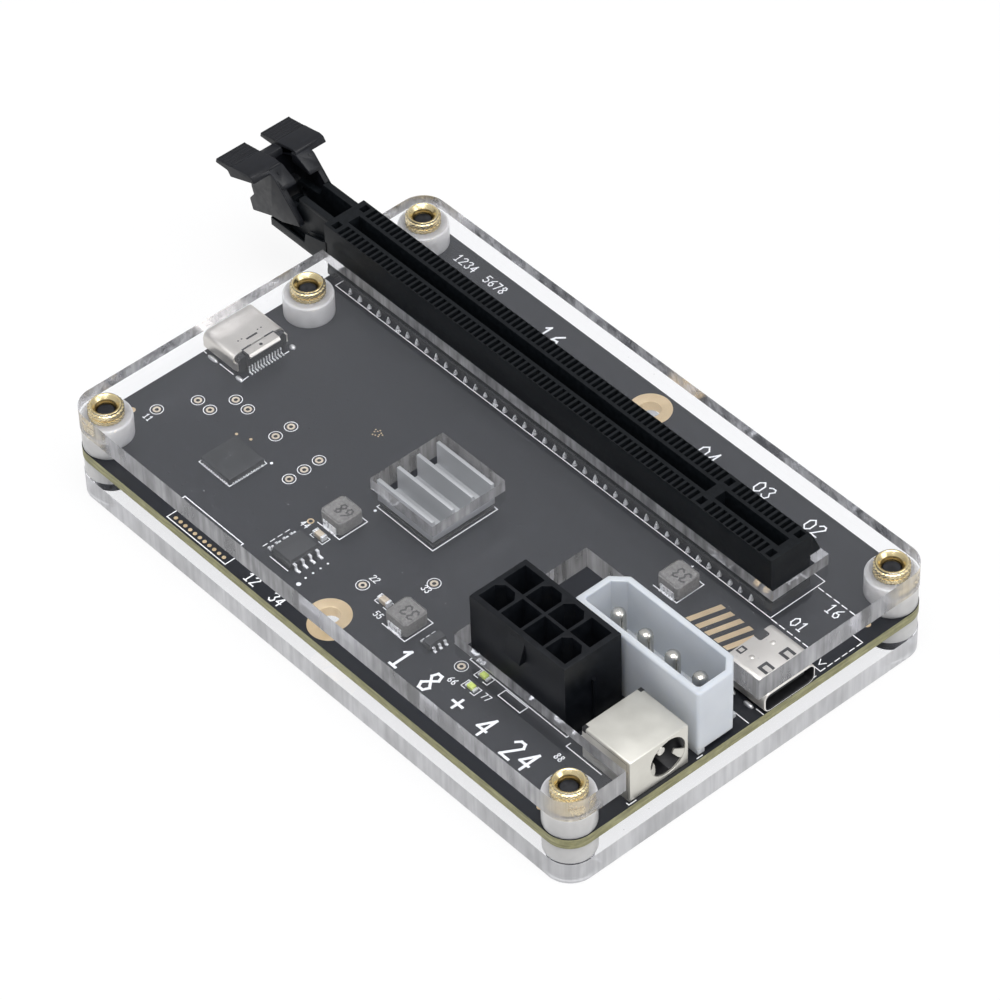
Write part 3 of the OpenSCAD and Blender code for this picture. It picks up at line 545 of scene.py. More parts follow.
def refined(node, mats, bevel, seg=2, body="chassis", smooth=34.0, least=None, extra=None, pick=None):
    """The CAD node's own surface with rounded edges, in place of the node."""
    s = Shape()
    s.bm.from_mesh(NODES[node].data)
    for f in s.bm.faces:
        f.material_index = 0
    bmesh.ops.scale(s.bm, vec=(1000, 1000, 1000), verts=s.bm.verts)
    bmesh.ops.remove_doubles(s.bm, verts=s.bm.verts, dist=2e-4)
    bmesh.ops.dissolve_limit(s.bm, angle_limit=math.radians(0.6), verts=s.bm.verts, edges=s.bm.edges)
    if pick:
        for f in s.bm.faces:
            f.material_index = pick(f)
    if bevel:
        s.bevel(bevel, seg, 25.0, least)
    if extra:
        extra(s)
    return finish(s, node + "_look", mats, body, (node,), smooth)


# ---------------------------------------------------------------- case
outline = rounded(-HX, -HY, HX, HY, RC, 14)
s = Shape()
o0, o1 = s.rings(outline, [(0.0, 0.0), (0.0, 3.5)], XY, 1)
tops, lows = [o1], [o0]
for x, y in SCREWS:
    h0, h1 = s.rings(ring(x, y, 1.55, 48), [(-1.55, 0.0), (-1.55, 0.25), (0.0, 1.8), (0.0, 3.5)], XY, 0)
    lows.append(h0)
    tops.append(h1)
s.cap(tops, 0)
s.cap(lows, 0)
# lower plate edges in the pale edge copy: painted light
finish(s, "lower_clear_plate", ["clear_face", "clear_low_painted_light"], replaces=("bottom_plate",), smooth=20.0)

# upper plate: outline walked round its two open cut-outs
corner = lambda sx, sy, a: arc(sx * (HX - RC), sy * (HY - RC), RC, a, a + 90, 14)
upper = (corner(-1, -1, 180) + corner(1, -1, 270)
         + [(HX, -21.8), (17.5, -21.8), (17.5, 0.9), (HX, 0.9)]
         + corner(1, 1, 0) + corner(-1, 1, 90)
         + [(-HX, 22.95), (39.6, 22.95), (39.6, 13.0), (-HX, 13.0)])
s = Shape()
s.prism(upper, Z_T0, Z_T1, [ring(x, y, 2.2, 64) for x, y in SCREWS] + [rect(-11.3, -11.3, 1.1, 1.35)],
        cap=0, wall=1, hole_wall=2)
for f in s.bm.faces:
    c = f.calc_center_median()
    if f.material_index == 1 and not (abs(abs(c.x) - HX) < 0.05 or abs(abs(c.y) - HY) < 0.05
                                      or (abs(c.x) > HX - RC and abs(c.y) > HY - RC)):
        f.material_index = 2
    # far outer edges take the darker edge copy: painted shade
    if f.material_index == 1 and (c.y > HY - 1.2 or c.x < -HX + 1.2):
        f.material_index = 3
    if f.material_index == 2 and any(math.hypot(c.x - x, c.y - y) < 2.4 for x, y in SCREWS):
        f.material_index = 0
finish(s, "upper_clear_plate", ["clear_face", "clear_edge", "clear_cut", "clear_far_painted_shade"], replaces=("top_plate",),
       smooth=20.0)

s = Shape()
for x, y in SCREWS:
    for z0, z1 in ((3.5, Z_B0),):
        h = z1 - z0
        s.turn([(1.6, 0.0), (3.5, 0.0), (3.6, 0.1), (3.6, h - 0.32), (3.55, h - 0.12), (3.38, h), (1.6, h)], (x, y, z0), n=64)
finish(s, "lower_spacer_rings", ["nylon"], replaces=("lower_spacers",))
s = Shape()
for x, y in SCREWS:
    h = Z_T0 - Z_B1
    s.turn([(1.6, 0.0), (3.5, 0.0), (3.6, 0.1), (3.6, h - 0.32), (3.55, h - 0.12), (3.38, h), (1.6, h)], (x, y, Z_B1), n=64)
finish(s, "upper_spacer_rings", ["nylon"], replaces=("upper_spacers",))


def knurled(s, x, y):
    """Threaded insert: two knurled bands, plain waist, bright rim and thread rings in the bore, the thread rings in a
    dark copy of the brass as painted shade.
    """
    n = 144
    rows = []
    zs = [0.0, 0.12, 0.2, 0.45, 0.7, 0.95, 1.2, 1.32, 1.38, 1.75, 1.8, 1.95, 2.2, 2.45, 2.7, 2.86, 2.92, 3.46]
    for z in zs:
        row = []
        for i in range(n):
            a = 2 * math.pi * i / n
            r = 2.17
            if 0.12 <= z <= 1.32 or 1.8 <= z <= 2.86:
                slant = 0.35 * (z - 0.7) if z < 1.6 else -0.35 * (z - 2.3)
                r = 2.5 - 0.13 * (0.5 - 0.5 * math.cos(24 * (a + slant)))
            row.append(s.bm.verts.new((x + r * math.cos(a), y + r * math.sin(a), Z_T0 + z)))
        rows.append(row)
    inner = [(2.12, 3.51), (1.98, 3.51), (1.88, 3.44), (1.5, 2.98)]
    z = 2.9
    while z > 0.3:
        inner += [(1.42, z), (1.56, z - 0.25)]
        z -= 0.5
    inner += [(1.5, 0.0)]
    for r, h in inner:
        rows.append([s.bm.verts.new((x + r * math.cos(2 * math.pi * i / n), y + r * math.sin(2 * math.pi * i / n),
                                     Z_T0 + h)) for i in range(n)])
    # rings deep in the bore take the dark brass copy: painted shade
    for k, (a, b) in enumerate(zip(rows, rows[1:] + rows[:1])):
        for i in range(n):
            j = (i + 1) % n
            s.face([a[i], a[j], b[j], b[i]], 1 if k > len(zs) + 2 else 0)


s = Shape()
for x, y in SCREWS:
    knurled(s, x, y)
finish(s, "knurled_inserts", ["brass", "brass_bore_shade"], replaces=("threaded_inserts",), smooth=40.0)

s = Shape()
for x, y in SCREWS:
    hexr = 1.155
    prof = [(0.0, 1.2), (hexr * 0.93, 1.2), (hexr * 0.93, 0.0), (2.85, 0.0), (3.0, 0.15), (1.45, 1.7)]
    z = 9.0
    prof.append((1.38, z))
    while z < 13.3:
        prof += [(1.4, z + 0.08), (1.24, z + 0.25), (1.4, z + 0.42)]
        z += 0.5
    prof += [(1.36, 13.75), (1.12, 14.0), (0.0, 14.0)]
    s.turn(prof, (x, y, 0.0), n=48)
finish(s, "case_screws", ["screw"], replaces=("assembly_screws",))

# ---------------------------------------------------------------- board
s = Shape()
s.prism(outline, Z_B0, Z_B1, [ring(x, y, 1.6, 40) for x, y in SCREWS] + [ring(x, y, 1.55, 40) for x, y in RINGS]
        + [ring(x, y, 0.3, 20) for x, y in SPOTS], cap=0, wall=1, hole_wall=1)
finish(s, "board_core", ["mask", "board_edge"], replaces=("circuit_board",), smooth=20.0)

s = Shape()
for x, y in RINGS:
    s.turn([(1.5, -1.62), (3.05, -1.62), (3.05, -1.6), (1.54, -1.6), (1.54, 0.0), (3.05, 0.0), (3.05, 0.03), (1.6, 0.03),
            (1.5, 0.0)], (x, y, Z_B1), n=72)
finish(s, "plated_hole_rings", ["gold"], replaces=("plated_rings",))

s = Shape()
for x, y in SPOTS:
    s.turn([(0.29, -0.05), (0.29, 0.03), (0.32, 0.05), (0.55, 0.05), (0.57, 0.0), (0.31, 0.0), (0.3, -0.05)],
           (x, y, Z_B1), n=32)
    # black plug down each test point's hole: painted shade
    s.mi = 1
    s.turn([(0.0, 0.0), (0.295, 0.0), (0.295, -0.9), (0.0, -0.9)], (x, y, Z_B1 - 0.03), n=24)
    s.mi = 0
finish(s, "test_point_pads", ["gold_pad", "hole_shade"], replaces=("test_pads",))

# printed marks: outlines, brackets, rings and plain pin numbers
DIGITS = {
    "0": [[(0, 1), (0, 3), (1, 4), (2, 3), (2, 1), (1, 0), (0, 1)]],
    "1": [[(0.2, 3.2), (1, 4), (1, 0)], [(0.3, 0), (1.7, 0)]],
    "2": [[(0, 3.3), (0.6, 4), (1.5, 4), (2, 3.2), (0, 0), (2, 0)]],
    "3": [[(0, 3.5), (0.7, 4), (1.6, 4), (2, 3.3), (1.3, 2.2), (2, 1.1), (1.5, 0), (0.6, 0), (0, 0.6)]],
    "4": [[(1.5, 0), (1.5, 4), (0, 1.3), (2, 1.3)]],
    "5": [[(1.9, 4), (0.3, 4), (0.1, 2.4), (1.4, 2.4), (2, 1.6), (1.6, 0.2), (0.7, 0), (0, 0.5)]],
    "6": [[(1.7, 4), (0.4, 2.6), (0, 1.2), (0.6, 0), (1.5, 0), (2, 0.9), (1.5, 2.0), (0.2, 1.8)]],
    "7": [[(0, 4), (2, 4), (0.8, 0)]],
    "8": [[(1, 2.1), (0.2, 3), (0.6, 4), (1.5, 4), (1.9, 3), (1, 2.1), (0, 1), (0.5, 0), (1.5, 0), (2, 1), (1, 2.1)]],
    "9": [[(0.3, 0), (1.6, 1.4), (2, 2.8), (1.4, 4), (0.5, 4), (0, 3.1), (0.5, 2.1), (1.8, 2.2)]],
    "+": [[(1, 0.9), (1, 3.1)], [(-0.1, 2), (2.1, 2)]],
    "-": [[(0, 2), (2, 2)]],
}


def number(s, text, x, y, h=1.0, w=0.13, turn=0.0, gap=0.75):
    """Plain figures drawn with strokes, baseline start at x, y, turned by degrees."""
    k = h / 4.0
    c, sn = math.cos(math.radians(turn)), math.sin(math.radians(turn))
    adv = 0.0
    for ch in text:
        for stroke in DIGITS.get(ch, []):
            pts = [((px * k * 0.95 + adv), py * k) for px, py in stroke]
            s.path([(x + a * c - b * sn, y + a * sn + b * c) for a, b in pts], w)
        adv += h * gap
    return s


s = Shape()
# card slot outline and its dashed runs to the front edge
s.path(rect(-47.6, 13.17, 39.1, 22.88), 0.12, True)
s.dashes(39.4, 13.12, 46.6, 13.12)
s.dashes(39.4, 21.5, 46.6, 21.5)
# eight-way header outline and key box
s.path([(18.3, -19.3), (18.3, -20.05), (36.75, -20.05), (36.75, -9.6), (18.3, -9.6)], 0.15)
s.path(rect(25.45, -21.6, 29.6, -20.25), 0.14, True)
# barrel jack outline
s.path([(37.85, -20.4), (37.85, -21.1), (44.4, -21.1)], 0.14)
s.path([(49.1, -21.1), (49.5, -21.1), (49.5, -19.9)], 0.14)
# four-way header outline
s.path([(25.6, -9.3), (25.6, -0.55), (49.5, -0.55)], 0.14)
s.line(49.55, -9.5, 49.55, -8.6, 0.14)
# supply port outline ticks
s.line(48.45, 1.86, 49.7, 1.86, 0.14)
s.line(49.4, 10.84, 49.4, 11.4, 0.14)
# data port outline ticks
s.line(-49.7, -8.5, -49.2, -8.5, 0.14)
s.line(-46.25, -8.5, -43.5, -8.5, 0.14)
s.line(-41.6, -8.67, -41.75, -7.3, 0.14)
s.line(-41.8, -0.76, -41.8, -0.1, 0.14)
# dashed box and chevron on the front strip
s.dashes(49.2, 12.4, 49.2, 19.9, 0.8, 0.5, 0.13)
s.dashes(47.2, 12.4, 47.2, 19.9, 0.8, 0.5, 0.13)
s.line(47.2, 12.4, 49.2, 12.4, 0.13)
s.line(47.2, 19.9, 49.2, 19.9, 0.13)
s.path([(47.7, 13.9), (48.2, 13.1), (48.7, 13.9)], 0.13)
# controller outline and dot
s.path(rect(-10.9, -10.75, 0.3, 0.56), 0.15, True)
s.prism(ring(-10.5, -11.4, 0.22, 16), Z_B1 + 0.004, Z_B1 + 0.026)
# inductor brackets
for cx, cy in ((-11.8, -16.0), (8.0, -21.8), (26.7, 8.5)):
    for sx in (-1, 1):
        s.path([(cx + sx * 1.1, cy - 2.35), (cx + sx * 2.2, cy - 2.35)], 0.14)
        s.path([(cx + sx * 1.1, cy + 2.5), (cx + sx * 2.2, cy + 2.5)], 0.14)
    s.path([(cx + 2.2, cy - 2.35), (cx + 2.2, cy + 2.5)], 0.14)
# eight-lead chip line, lead marks and pin-one dot
s.line(-13.4, -27.0, -9.8, -27.0, 0.14)
s.prism(ring(-7.0, -27.5, 0.33, 20), Z_B1 + 0.004, Z_B1 + 0.026)
for i in range(4):
    y = -24.2 + (i - 1.5) * 1.27
    s.prism(ring(-7.25, y, 0.16, 12), Z_B1 + 0.004, Z_B1 + 0.026)
    s.line(-15.5, y - 0.35, -15.5, y + 0.35, 0.12)
# square chip corners and dot
s.path([(-33.5, -21.6), (-33.5, -22.6), (-27.1, -22.6), (-27.1, -16.2), (-28.0, -16.2)], 0.13)
s.path([(-33.5, -17.2), (-33.5, -16.2), (-32.6, -16.2)], 0.13)
s.prism(ring(-26.7, -15.7, 0.22, 16), Z_B1 + 0.004, Z_B1 + 0.026)
# rings round the test points
for x, y in SPOTS:
    s.turn([(0.86, 0.004), (0.96, 0.004), (0.96, 0.026), (0.86, 0.026)], (x, y, Z_B1), n=32)
# frames round the small parts
for cx, cy in ((-11.7, -19.9), (3.2, -21.5), (22.15, -23.2), (21.9, -20.8)):
    s.path([(cx - 0.5, cy - 0.68), (cx - 1.25, cy - 0.68), (cx - 1.25, cy + 0.68), (cx - 0.5, cy + 0.68)], 0.11)
    s.path([(cx + 0.5, cy - 0.68), (cx + 1.25, cy - 0.68), (cx + 1.25, cy + 0.68), (cx + 0.5, cy + 0.68)], 0.11)
# box on the near strip with a row of dots
s.path(rect(-29.7, -31.3, -17.6, -28.1), 0.15, True)
# plain numbers
for t, x, y in (("1", -45.4, -22.7), ("2", -1.5, -20.1), ("3", 4.4, -16.4), ("4", -15.4, -20.3), ("5", 3.7, -24.0),
                ("6", 19.0, -24.6), ("7", 24.1, -23.4), ("8", 38.1, -23.5)):
    number(s, t + t, x, y, 0.95, 0.12)
number(s, "1", 25.3, 11.4, 0.9, 0.12)
for i, t in enumerate(("80", "60", "40", "20")):
    number(s, t, 25.0 - 20.0 * i, 13.3, 0.45, 0.08)
number(s, "01", 41.4, 14.2, 1.7, 0.17)
number(s, "16", 42.8, 19.2, 1.7, 0.17)
number(s, "1234", -40.6, 28.6, 1.4, 0.15)
number(s, "5678", -34.6, 28.6, 1.4, 0.15)
number(s, "16", -21.5, 26.6, 2.6, 0.3, gap=0.85)
number(s, "04", 10.2, 26.6, 2.4, 0.22)
number(s, "03", 20.2, 27.6, 2.2, 0.2)
number(s, "02", 29.8, 27.6, 2.2, 0.2)
number(s, "8 + 4", 17.0, -28.0, 3.3, 0.38, gap=0.8)
number(s, "1", 11.5, -28.0, 3.3, 0.38)
number(s, "24", 33.0, -28.0, 3.3, 0.38, gap=0.8)
number(s, "12", -14.0, -31.2, 1.6, 0.2)
number(s, "34", -9.0, -31.2, 1.6, 0.2)
finish(s, "board_print", ["print"], smooth=20.0)

# bare pads and small vias that the board carries by itself
s = Shape()
z0, z1 = Z_B1 + 0.002, Z_B1 + 0.03
for x, y in ((42.2, -29.4), (47.0, -23.9), (-41.6, 24.5), (47.3, 22.6), (-47.4, -22.9)):
    s.prism(ring(x, y, 0.5, 24), z0, z1)
for i in range(10):
    s.prism(ring(-21.4 + 0.85 * math.cos(i * 2.4) * (0.4 + 0.06 * i), -1.65 + 0.85 * math.sin(i * 2.4) * (0.4 + 0.06 * i), 0.11, 10),
            z0, z1)
for i in range(11):
    s.prism(ring(-28.7 + i * 1.0, -30.6, 0.3, 14), z0, z1)
for x, y in ((-34.2, -15.55), (-32.1, -14.8)):
    s.prism(ring(x, y, 0.22, 16), z0, z1)
s.turn([(0.3, 0.002), (0.5, 0.002), (0.5, 0.03), (0.3, 0.03)], (-14.8, -18.9, Z_B1), n=24)
# plain exposed bars beside the supply port
for i in range(5):
    s.prism([(31.6 + i * 1.75, 5.2), (32.5 + i * 1.75, 5.2), (33.9 + i * 1.75, 10.2), (33.0 + i * 1.75, 10.2)], z0, z1)
finish(s, "bare_pads", ["gold"], smooth=20.0)

# tented vias: low bumps under the solder mask, scattered between the parts
s = Shape()
keep = [(-52, 12.6, 40, 23.5), (17, -22, 50, 12), (-12, -12, 2, 2), (-34, -23, -26, -15.5), (-16, -28.5, -6, -13),
        (5, -25, 11, -19), (1.5, -23, 5, -20), (-50, -10, -40, 2), (-30, -32, -17, -27.8)]
count = 0
while count < 150:
    x, y = rnd.uniform(-44, 44), rnd.uniform(-29, 29)
    if any(a < x < c and b < y < d for a, b, c, d in keep):
        continue
    if any(math.hypot(x - p, y - q) < 4.6 for p, q in SCREWS + RINGS):
        continue
    if any(math.hypot(x - p, y - q) < 1.6 for p, q in SPOTS):
        continue
    s.turn([(0.0, 0.02), (0.1, 0.018), (0.22, 0.003), (0.22, -0.02), (0.0, -0.02)], (x, y, Z_B1), n=10)
    count += 1
finish(s, "tented_vias", ["mask"])

# ---------------------------------------------------------------- card slot
SY, SW0, SW1, ST = 17.5, 13.9, 21.1, 19.0
XS = [-47.3 + i for i in range(71)] + [25.7 + i for i in range(11)]
holes = []
for sd in (-1, 1):
    yc = SY + sd * 2.5
    holes += [rect(x - 0.29, yc - 0.95, x + 0.29, yc + 0.95) for x in XS]
    holes += [rect(x - 0.5, yc - 0.65, x + 0.5, yc + 0.65) for x in (-48.8, 24.15, 37.2)]
holes += [rect(-48.2, SY - 0.975, 23.3, SY + 0.975), rect(25.0, SY - 0.975, 36.9, SY + 0.975)]
s = Shape()
s.block(rect(-50.3, SW0, 38.4, SW1), 9.0, ST, holes, top=0.1, lip=0.05, floor=10.7,
        steps=((0.12, 15.5), (0.0, 15.66)))
s.box(-50.2, SY - 1.5, Z_B1, 38.3, SY + 1.5, 9.05)
s.box(-50.25, SW0 + 0.1, Z_B1, -48.8, SW1 - 0.1, 9.05)
s.box(36.9, SW0 + 0.1, Z_B1, 38.3, SW1 - 0.1, 9.05)
s.prism([(20.8, 18.95), (21.08, 18.95), (22.58, 15.7), (22.58, 15.32), (20.8, 15.32)], 37.2, 38.38, place=YZ)
finish(s, "card_slot_body", ["slot"], replaces=("slot_housing",), smooth=28.0)

# carrier of the latch: floor, lip, two rail walls with pivot holes, two pocketed ledges
s = Shape()
s.box(-62.2, 14.9, 11.1, -50.2, 20.1, 12.3)
s.box(-62.2, 15.0, 11.2, -61.4, 20.0, 13.9)
rail = [(-62.2, 11.1), (-50.2, 11.1), (-50.2, 18.85), (-56.7, 18.85), (-56.9, 18.0), (-57.6, 16.5), (-62.2, 16.2)]
ledge = [(-62.2, 11.1), (-50.2, 11.1), (-50.2, 15.6), (-51.0, 15.2), (-54.6, 14.3), (-55.0, 12.5), (-62.2, 12.5)]
for flip in (0, 1):
    f = (lambda v: v) if not flip else (lambda v: 2 * SY - v)
    span_ = lambda a, b: (min(f(a), f(b)), max(f(a), f(b)))
    a, b = span_(14.9, 15.9)
    s.prism(rail, a, b, [ring(-60.6, 14.9, 0.85, 32)], place=XZ)
    a, b = span_(13.9, 14.2)
    s.prism(ledge, a, b, place=XZ)
    a, b = span_(14.75, 14.95)
    s.prism(ledge, a, b, place=XZ)
    a, b = span_(14.15, 14.8)
    s.prism([(-62.2, 11.1), (-58.6, 11.1), (-58.6, 12.5), (-62.2, 12.5)], a, b, place=XZ)
    s.prism([(-58.7, 11.1), (-51.0, 11.1), (-51.0, 11.6), (-58.7, 11.6)], a, b, place=XZ)
    s.prism([(-51.1, 11.1), (-50.2, 11.1), (-50.2, 15.6), (-51.1, 15.2)], a, b, place=XZ)
    # lip along the outside of the rail, just under its top
    a, b = span_(14.82, 14.9)
    s.prism([(-56.6, 18.3), (-50.4, 18.3), (-50.4, 18.85), (-56.7, 18.85)], a, b, place=XZ)
finish(s.bevel(0.06, 2, least=0.35), "latch_carrier", ["slot"], smooth=30.0)
refined("latch_lever", ["lever"], 0.14, 2, body="latch", least=0.45)

for node, sd in (("slot_contacts_near", -1), ("slot_contacts_far", 1)):
    s = Shape()
    for x in XS:
        for u0, u1, top in ((1.62, 1.84, 18.25), (3.1, 3.34, 18.05)):
            a, b = sorted((SY + sd * u0, SY + sd * u1))
            s.box(x - 0.15, a, 10.72, x + 0.15, b, top)
    finish(s.bevel(0.05, 1, least=0.2), node + "_beams", ["gold_fine"], replaces=(node,))

s = Shape()
for i in range(41):
    for sd in (-1, 1):
        k = rnd.uniform(0.85, 1.12)
        h = (1.12 if i % 3 != 2 else 0.86) * k
        r = 0.34 * rnd.uniform(0.92, 1.05)
        lean = rnd.uniform(-0.03, 0.03)
        cx, cy = -45.0 + 2 * i, SY + sd * 3.86
        s.turn([(0.0, h * 0.86), (0.07, h * 0.82), (0.13, h * 0.68), (r * 0.62, h * 0.46), (r * 0.86, h * 0.22), (r, 0.02),
                (r, -0.01), (0.0, -0.01)], (cx + lean, cy, Z_B1 + 0.01), n=20)
finish(s, "slot_solder_cones", ["solder"], replaces=("slot_solder_joints",))

# ---------------------------------------------------------------- ports


def tube_loop(cy, w, h, r):
    z0, z1 = Z_B1, Z_B1 + 3.26
    zc = (z0 + z1) / 2
    return rounded(cy - w / 2, zc - h / 2, cy + w / 2, zc + h / 2, r, 8)


def shell_tube(s, cy, x0, x1, mouth):
    """Drawn sheet tube; the mouth end has a rounded rim in a lighter copy of the steel, a painted highlight, and the
    inside is lined in the black insulator colour, painted shade.
    """
    out, inn = tube_loop(cy, 8.94, 3.26, 1.1), tube_loop(cy, 8.34, 2.66, 0.8)
    fwd = (lambda w: w) if mouth > 0 else (lambda w: x0 + x1 - w)
    place = lambda u, v, w: (fwd(w), u, v)
    lev = [(0.0, x0), (0.0, x1 - 0.12), (0.04, x1 - 0.04), (0.1, x1)]
    o0, o1 = s.rings(out, lev, place)
    # inside of the steel tube in the black insulator colour: painted shade
    i0, i1 = s.rings(inn, [(0.0, x0), (0.0, x1 - 0.3), (-0.02, x1 - 0.1), (-0.08, x1)], place, 2)
    # mouth end face in the lighter steel copy: painted highlight
    s.cap([o1, i1], 1)
    s.cap([o0, i0])


ROOF = Z_B1 + 3.26


def shade_inlay(s, x0, y0, x1, y1, mi):
    """An opening on the roof, drawn as a thin dark inlay: painted shade in place of the hole."""
    c = 0.06
    s.mi = mi
    s.prism([(x0 + c, y0), (x1 - c, y0), (x1, y0 + c), (x1, y1 - c), (x1 - c, y1), (x0 + c, y1), (x0, y1 - c),
             (x0, y0 + c)], ROOF - 0.05, ROOF + 0.006)
    s.mi = 0


# data port on the back edge
CY = -3.87
s = Shape()
shell_tube(s, CY, -50.0, -43.45, -1)
s.prism([(-43.6, CY - 2.65), (-42.2, CY - 2.65), (-42.2, CY + 2.65), (-43.6, CY + 2.65)], ROOF - 0.3, ROOF)
s.prism([(-42.22, ROOF), (-42.22, ROOF - 0.3), (-41.98, ROOF - 0.62), (-41.9, ROOF - 0.36)], CY - 2.65, CY + 2.65, place=XZ)
s.box(-43.5, CY - 4.45, Z_B1 + 0.9, -42.7, CY - 4.2, Z_B1 + 2.2)
s.box(-43.5, CY + 4.2, Z_B1 + 0.9, -42.7, CY + 4.45, Z_B1 + 2.2)
# slits in the roof drawn as dark inlays: painted shade
shade_inlay(s, -45.0, CY - 0.95, -44.68, CY + 0.95, 2)
for dy in (-2.0, -1.4, 1.4, 2.0):
    shade_inlay(s, -45.42, CY + dy - 0.12, -45.2, CY + dy + 0.12, 2)
for q in (-1, 1):
    a, b = sorted((CY + q * 1.15, CY + q * 2.8))
    shade_inlay(s, -43.7, a, -43.44, b, 2)
    a, b = sorted((CY + q * 2.62, CY + q * 2.9))
    s.mi = 2
    s.box(-43.6, a, ROOF - 0.3, -42.2, b, ROOF - 0.02)
    s.mi = 0
s.mi = 2
# round dark inlay on the roof: painted shade
s.prism(ring(-42.75, CY - 0.1, 0.26, 16), ROOF - 0.05, ROOF + 0.006)
s.box(-43.4, CY - 3.0, Z_B1 + 0.3, -42.3, CY + 3.0, ROOF - 0.32)
s.box(-43.44, CY - 4.1, Z_B1 + 0.3, -43.0, CY + 4.1, ROOF - 0.45)
s.mi = 0
finish(s, "host_port_body", ["steel", "rim", "dark_plastic_and_shade"], replaces=("host_port_shell",), smooth=35.0)
s = Shape()
for i in range(12):
    y = CY + (i - 5.5) * 0.5
    s.box(-42.3, y - 0.12, Z_B1, -41.55, y + 0.12, Z_B1 + 0.22)
    s.box(-42.3, y - 0.1, Z_B1 + 0.1, -42.1, y + 0.1, Z_B1 + 1.15)
finish(s.bevel(0.06, 2, least=0.12), "host_port_feet", ["solder"], replaces=("host_port_contacts",))
s = Shape()
for x, y, lx, ly in ((-47.7, CY - 4.72, 1.15, 0.42), (-47.7, CY + 4.72, 1.15, 0.42), (-42.2, CY - 4.6, 0.8, 0.42),
                     (-42.1, CY + 4.72, 0.6, 0.5)):
    s.dome(x, y, Z_B1, lx * 0.9, ly * 0.85, 0.34)
finish(s, "host_port_solder", ["tin_dull"])

# supply port on the front edge
CP = 6.4
s = Shape()
shell_tube(s, CP, 42.2, 49.8, 1)
for q in (-1, 1):
    wy = CP + q * 1.86
    # spring windows drawn as dark inlays: painted shade
    shade_inlay(s, 46.5, wy - 0.84, 48.16, wy + 0.84, 2)
    # spring tongue rising out of the window
    s.prism([(48.14, ROOF - 0.02), (48.14, ROOF + 0.02), (47.3, ROOF + 0.06), (46.95, ROOF + 0.03), (46.95, ROOF - 0.02)],
            wy - 0.36, wy + 0.36, place=XZ)
    s.dome(44.7, wy, ROOF - 0.01, 0.38, 0.38, 0.13)
# small rear window drawn as a dark inlay: painted shade
shade_inlay(s, 42.42, CP - 2.6, 43.4, CP - 1.3, 2)
s.prism(rect(42.6, CP - 2.3, 43.2, CP - 1.65), ROOF - 0.02, ROOF + 0.03)
s.mi = 2
# rear notch in the roof drawn as a rounded dark inlay: painted shade
s.prism(rounded(42.0, CP + 0.85, 43.4, CP + 2.65, 0.35, 5), ROOF - 0.05, ROOF + 0.006)
s.mi = 0
finish(s, "supply_port_body", ["steel", "rim", "dark_plastic_and_shade"], replaces=("power_port_shell",), smooth=35.0)
s = Shape()
for x, y in ((47.2, CP - 4.75), (47.2, CP + 4.75), (43.9, CP - 4.75), (43.9, CP + 4.75)):
    s.dome(x, y, Z_B1, 0.85, 0.38, 0.34)
finish(s, "supply_port_solder", ["tin_dull"])
for n in ("host_port_tongue", "power_port_tongue"):
    refined(n, ["dark_plastic_and_shade"], 0.0)
refined("power_port_contacts", ["gold_fine"], 0.0)

# ---------------------------------------------------------------- barrel jack
JX0, JX1, JY0, JY1, JZ1 = 40.5, 49.3, -20.7, -10.7, 15.1
JCY, JCZ = -14.2, 11.7


def jack_tabs(s):
    x = JX1
    for a in (100, 205, 335):
        c, sn = math.cos(math.radians(a)), math.sin(math.radians(a))
        tv = (-sn, c)
        rows = []
        for r, half, dx in ((3.02, 0.75, -0.06), (2.4, 0.62, -0.3), (1.8, 0.34, -0.85)):
            pts = [(x + dx, JCY + c * r + tv[0] * half * q, JCZ + sn * r + tv[1] * half * q) for q in (-1, 1)]
            pts += [(x + dx - 0.2, JCY + c * r + tv[0] * half * q, JCZ + sn * r + tv[1] * half * q) for q in (1, -1)]
            rows.append([s.bm.verts.new(p) for p in pts])
        for a_, b_ in zip(rows, rows[1:]):
            for i in range(4):
                j = (i + 1) % 4
                s.face([a_[i], a_[j], b_[j], b_[i]])
        s.face(rows[0])
        s.face(rows[-1])


s = Shape()
r = 0.28
outer = ([(JY0, Z_B1), (JY1, Z_B1)] + arc(JY1 - r, JZ1 - r, r, 0, 90, 4) + arc(JY0 + r, JZ1 - r, r, 90, 180, 4))
cavity = rect(JY0 + 0.3, Z_B1 + 0.02, JY1 - 0.3, JZ1 - 0.3)
mouth = ring(JCY, JCZ, 2.95, 56)
o0, o1 = s.rings(outer, [(0.0, JX0), (0.0, JX1 - 0.24), (0.07, JX1 - 0.07), (0.22, JX1)], YZ)
m0, m1 = s.rings(mouth, [(0.0, JX1 - 0.3), (0.0, JX1 - 0.06), (-0.05, JX1)], YZ)
c0, c1 = s.rings(cavity, [(0.0, JX0), (0.0, JX1 - 0.3)], YZ)
s.cap([o1, m1])
s.cap([c1, m0])
s.cap([o0, c0])
jack_tabs(s)
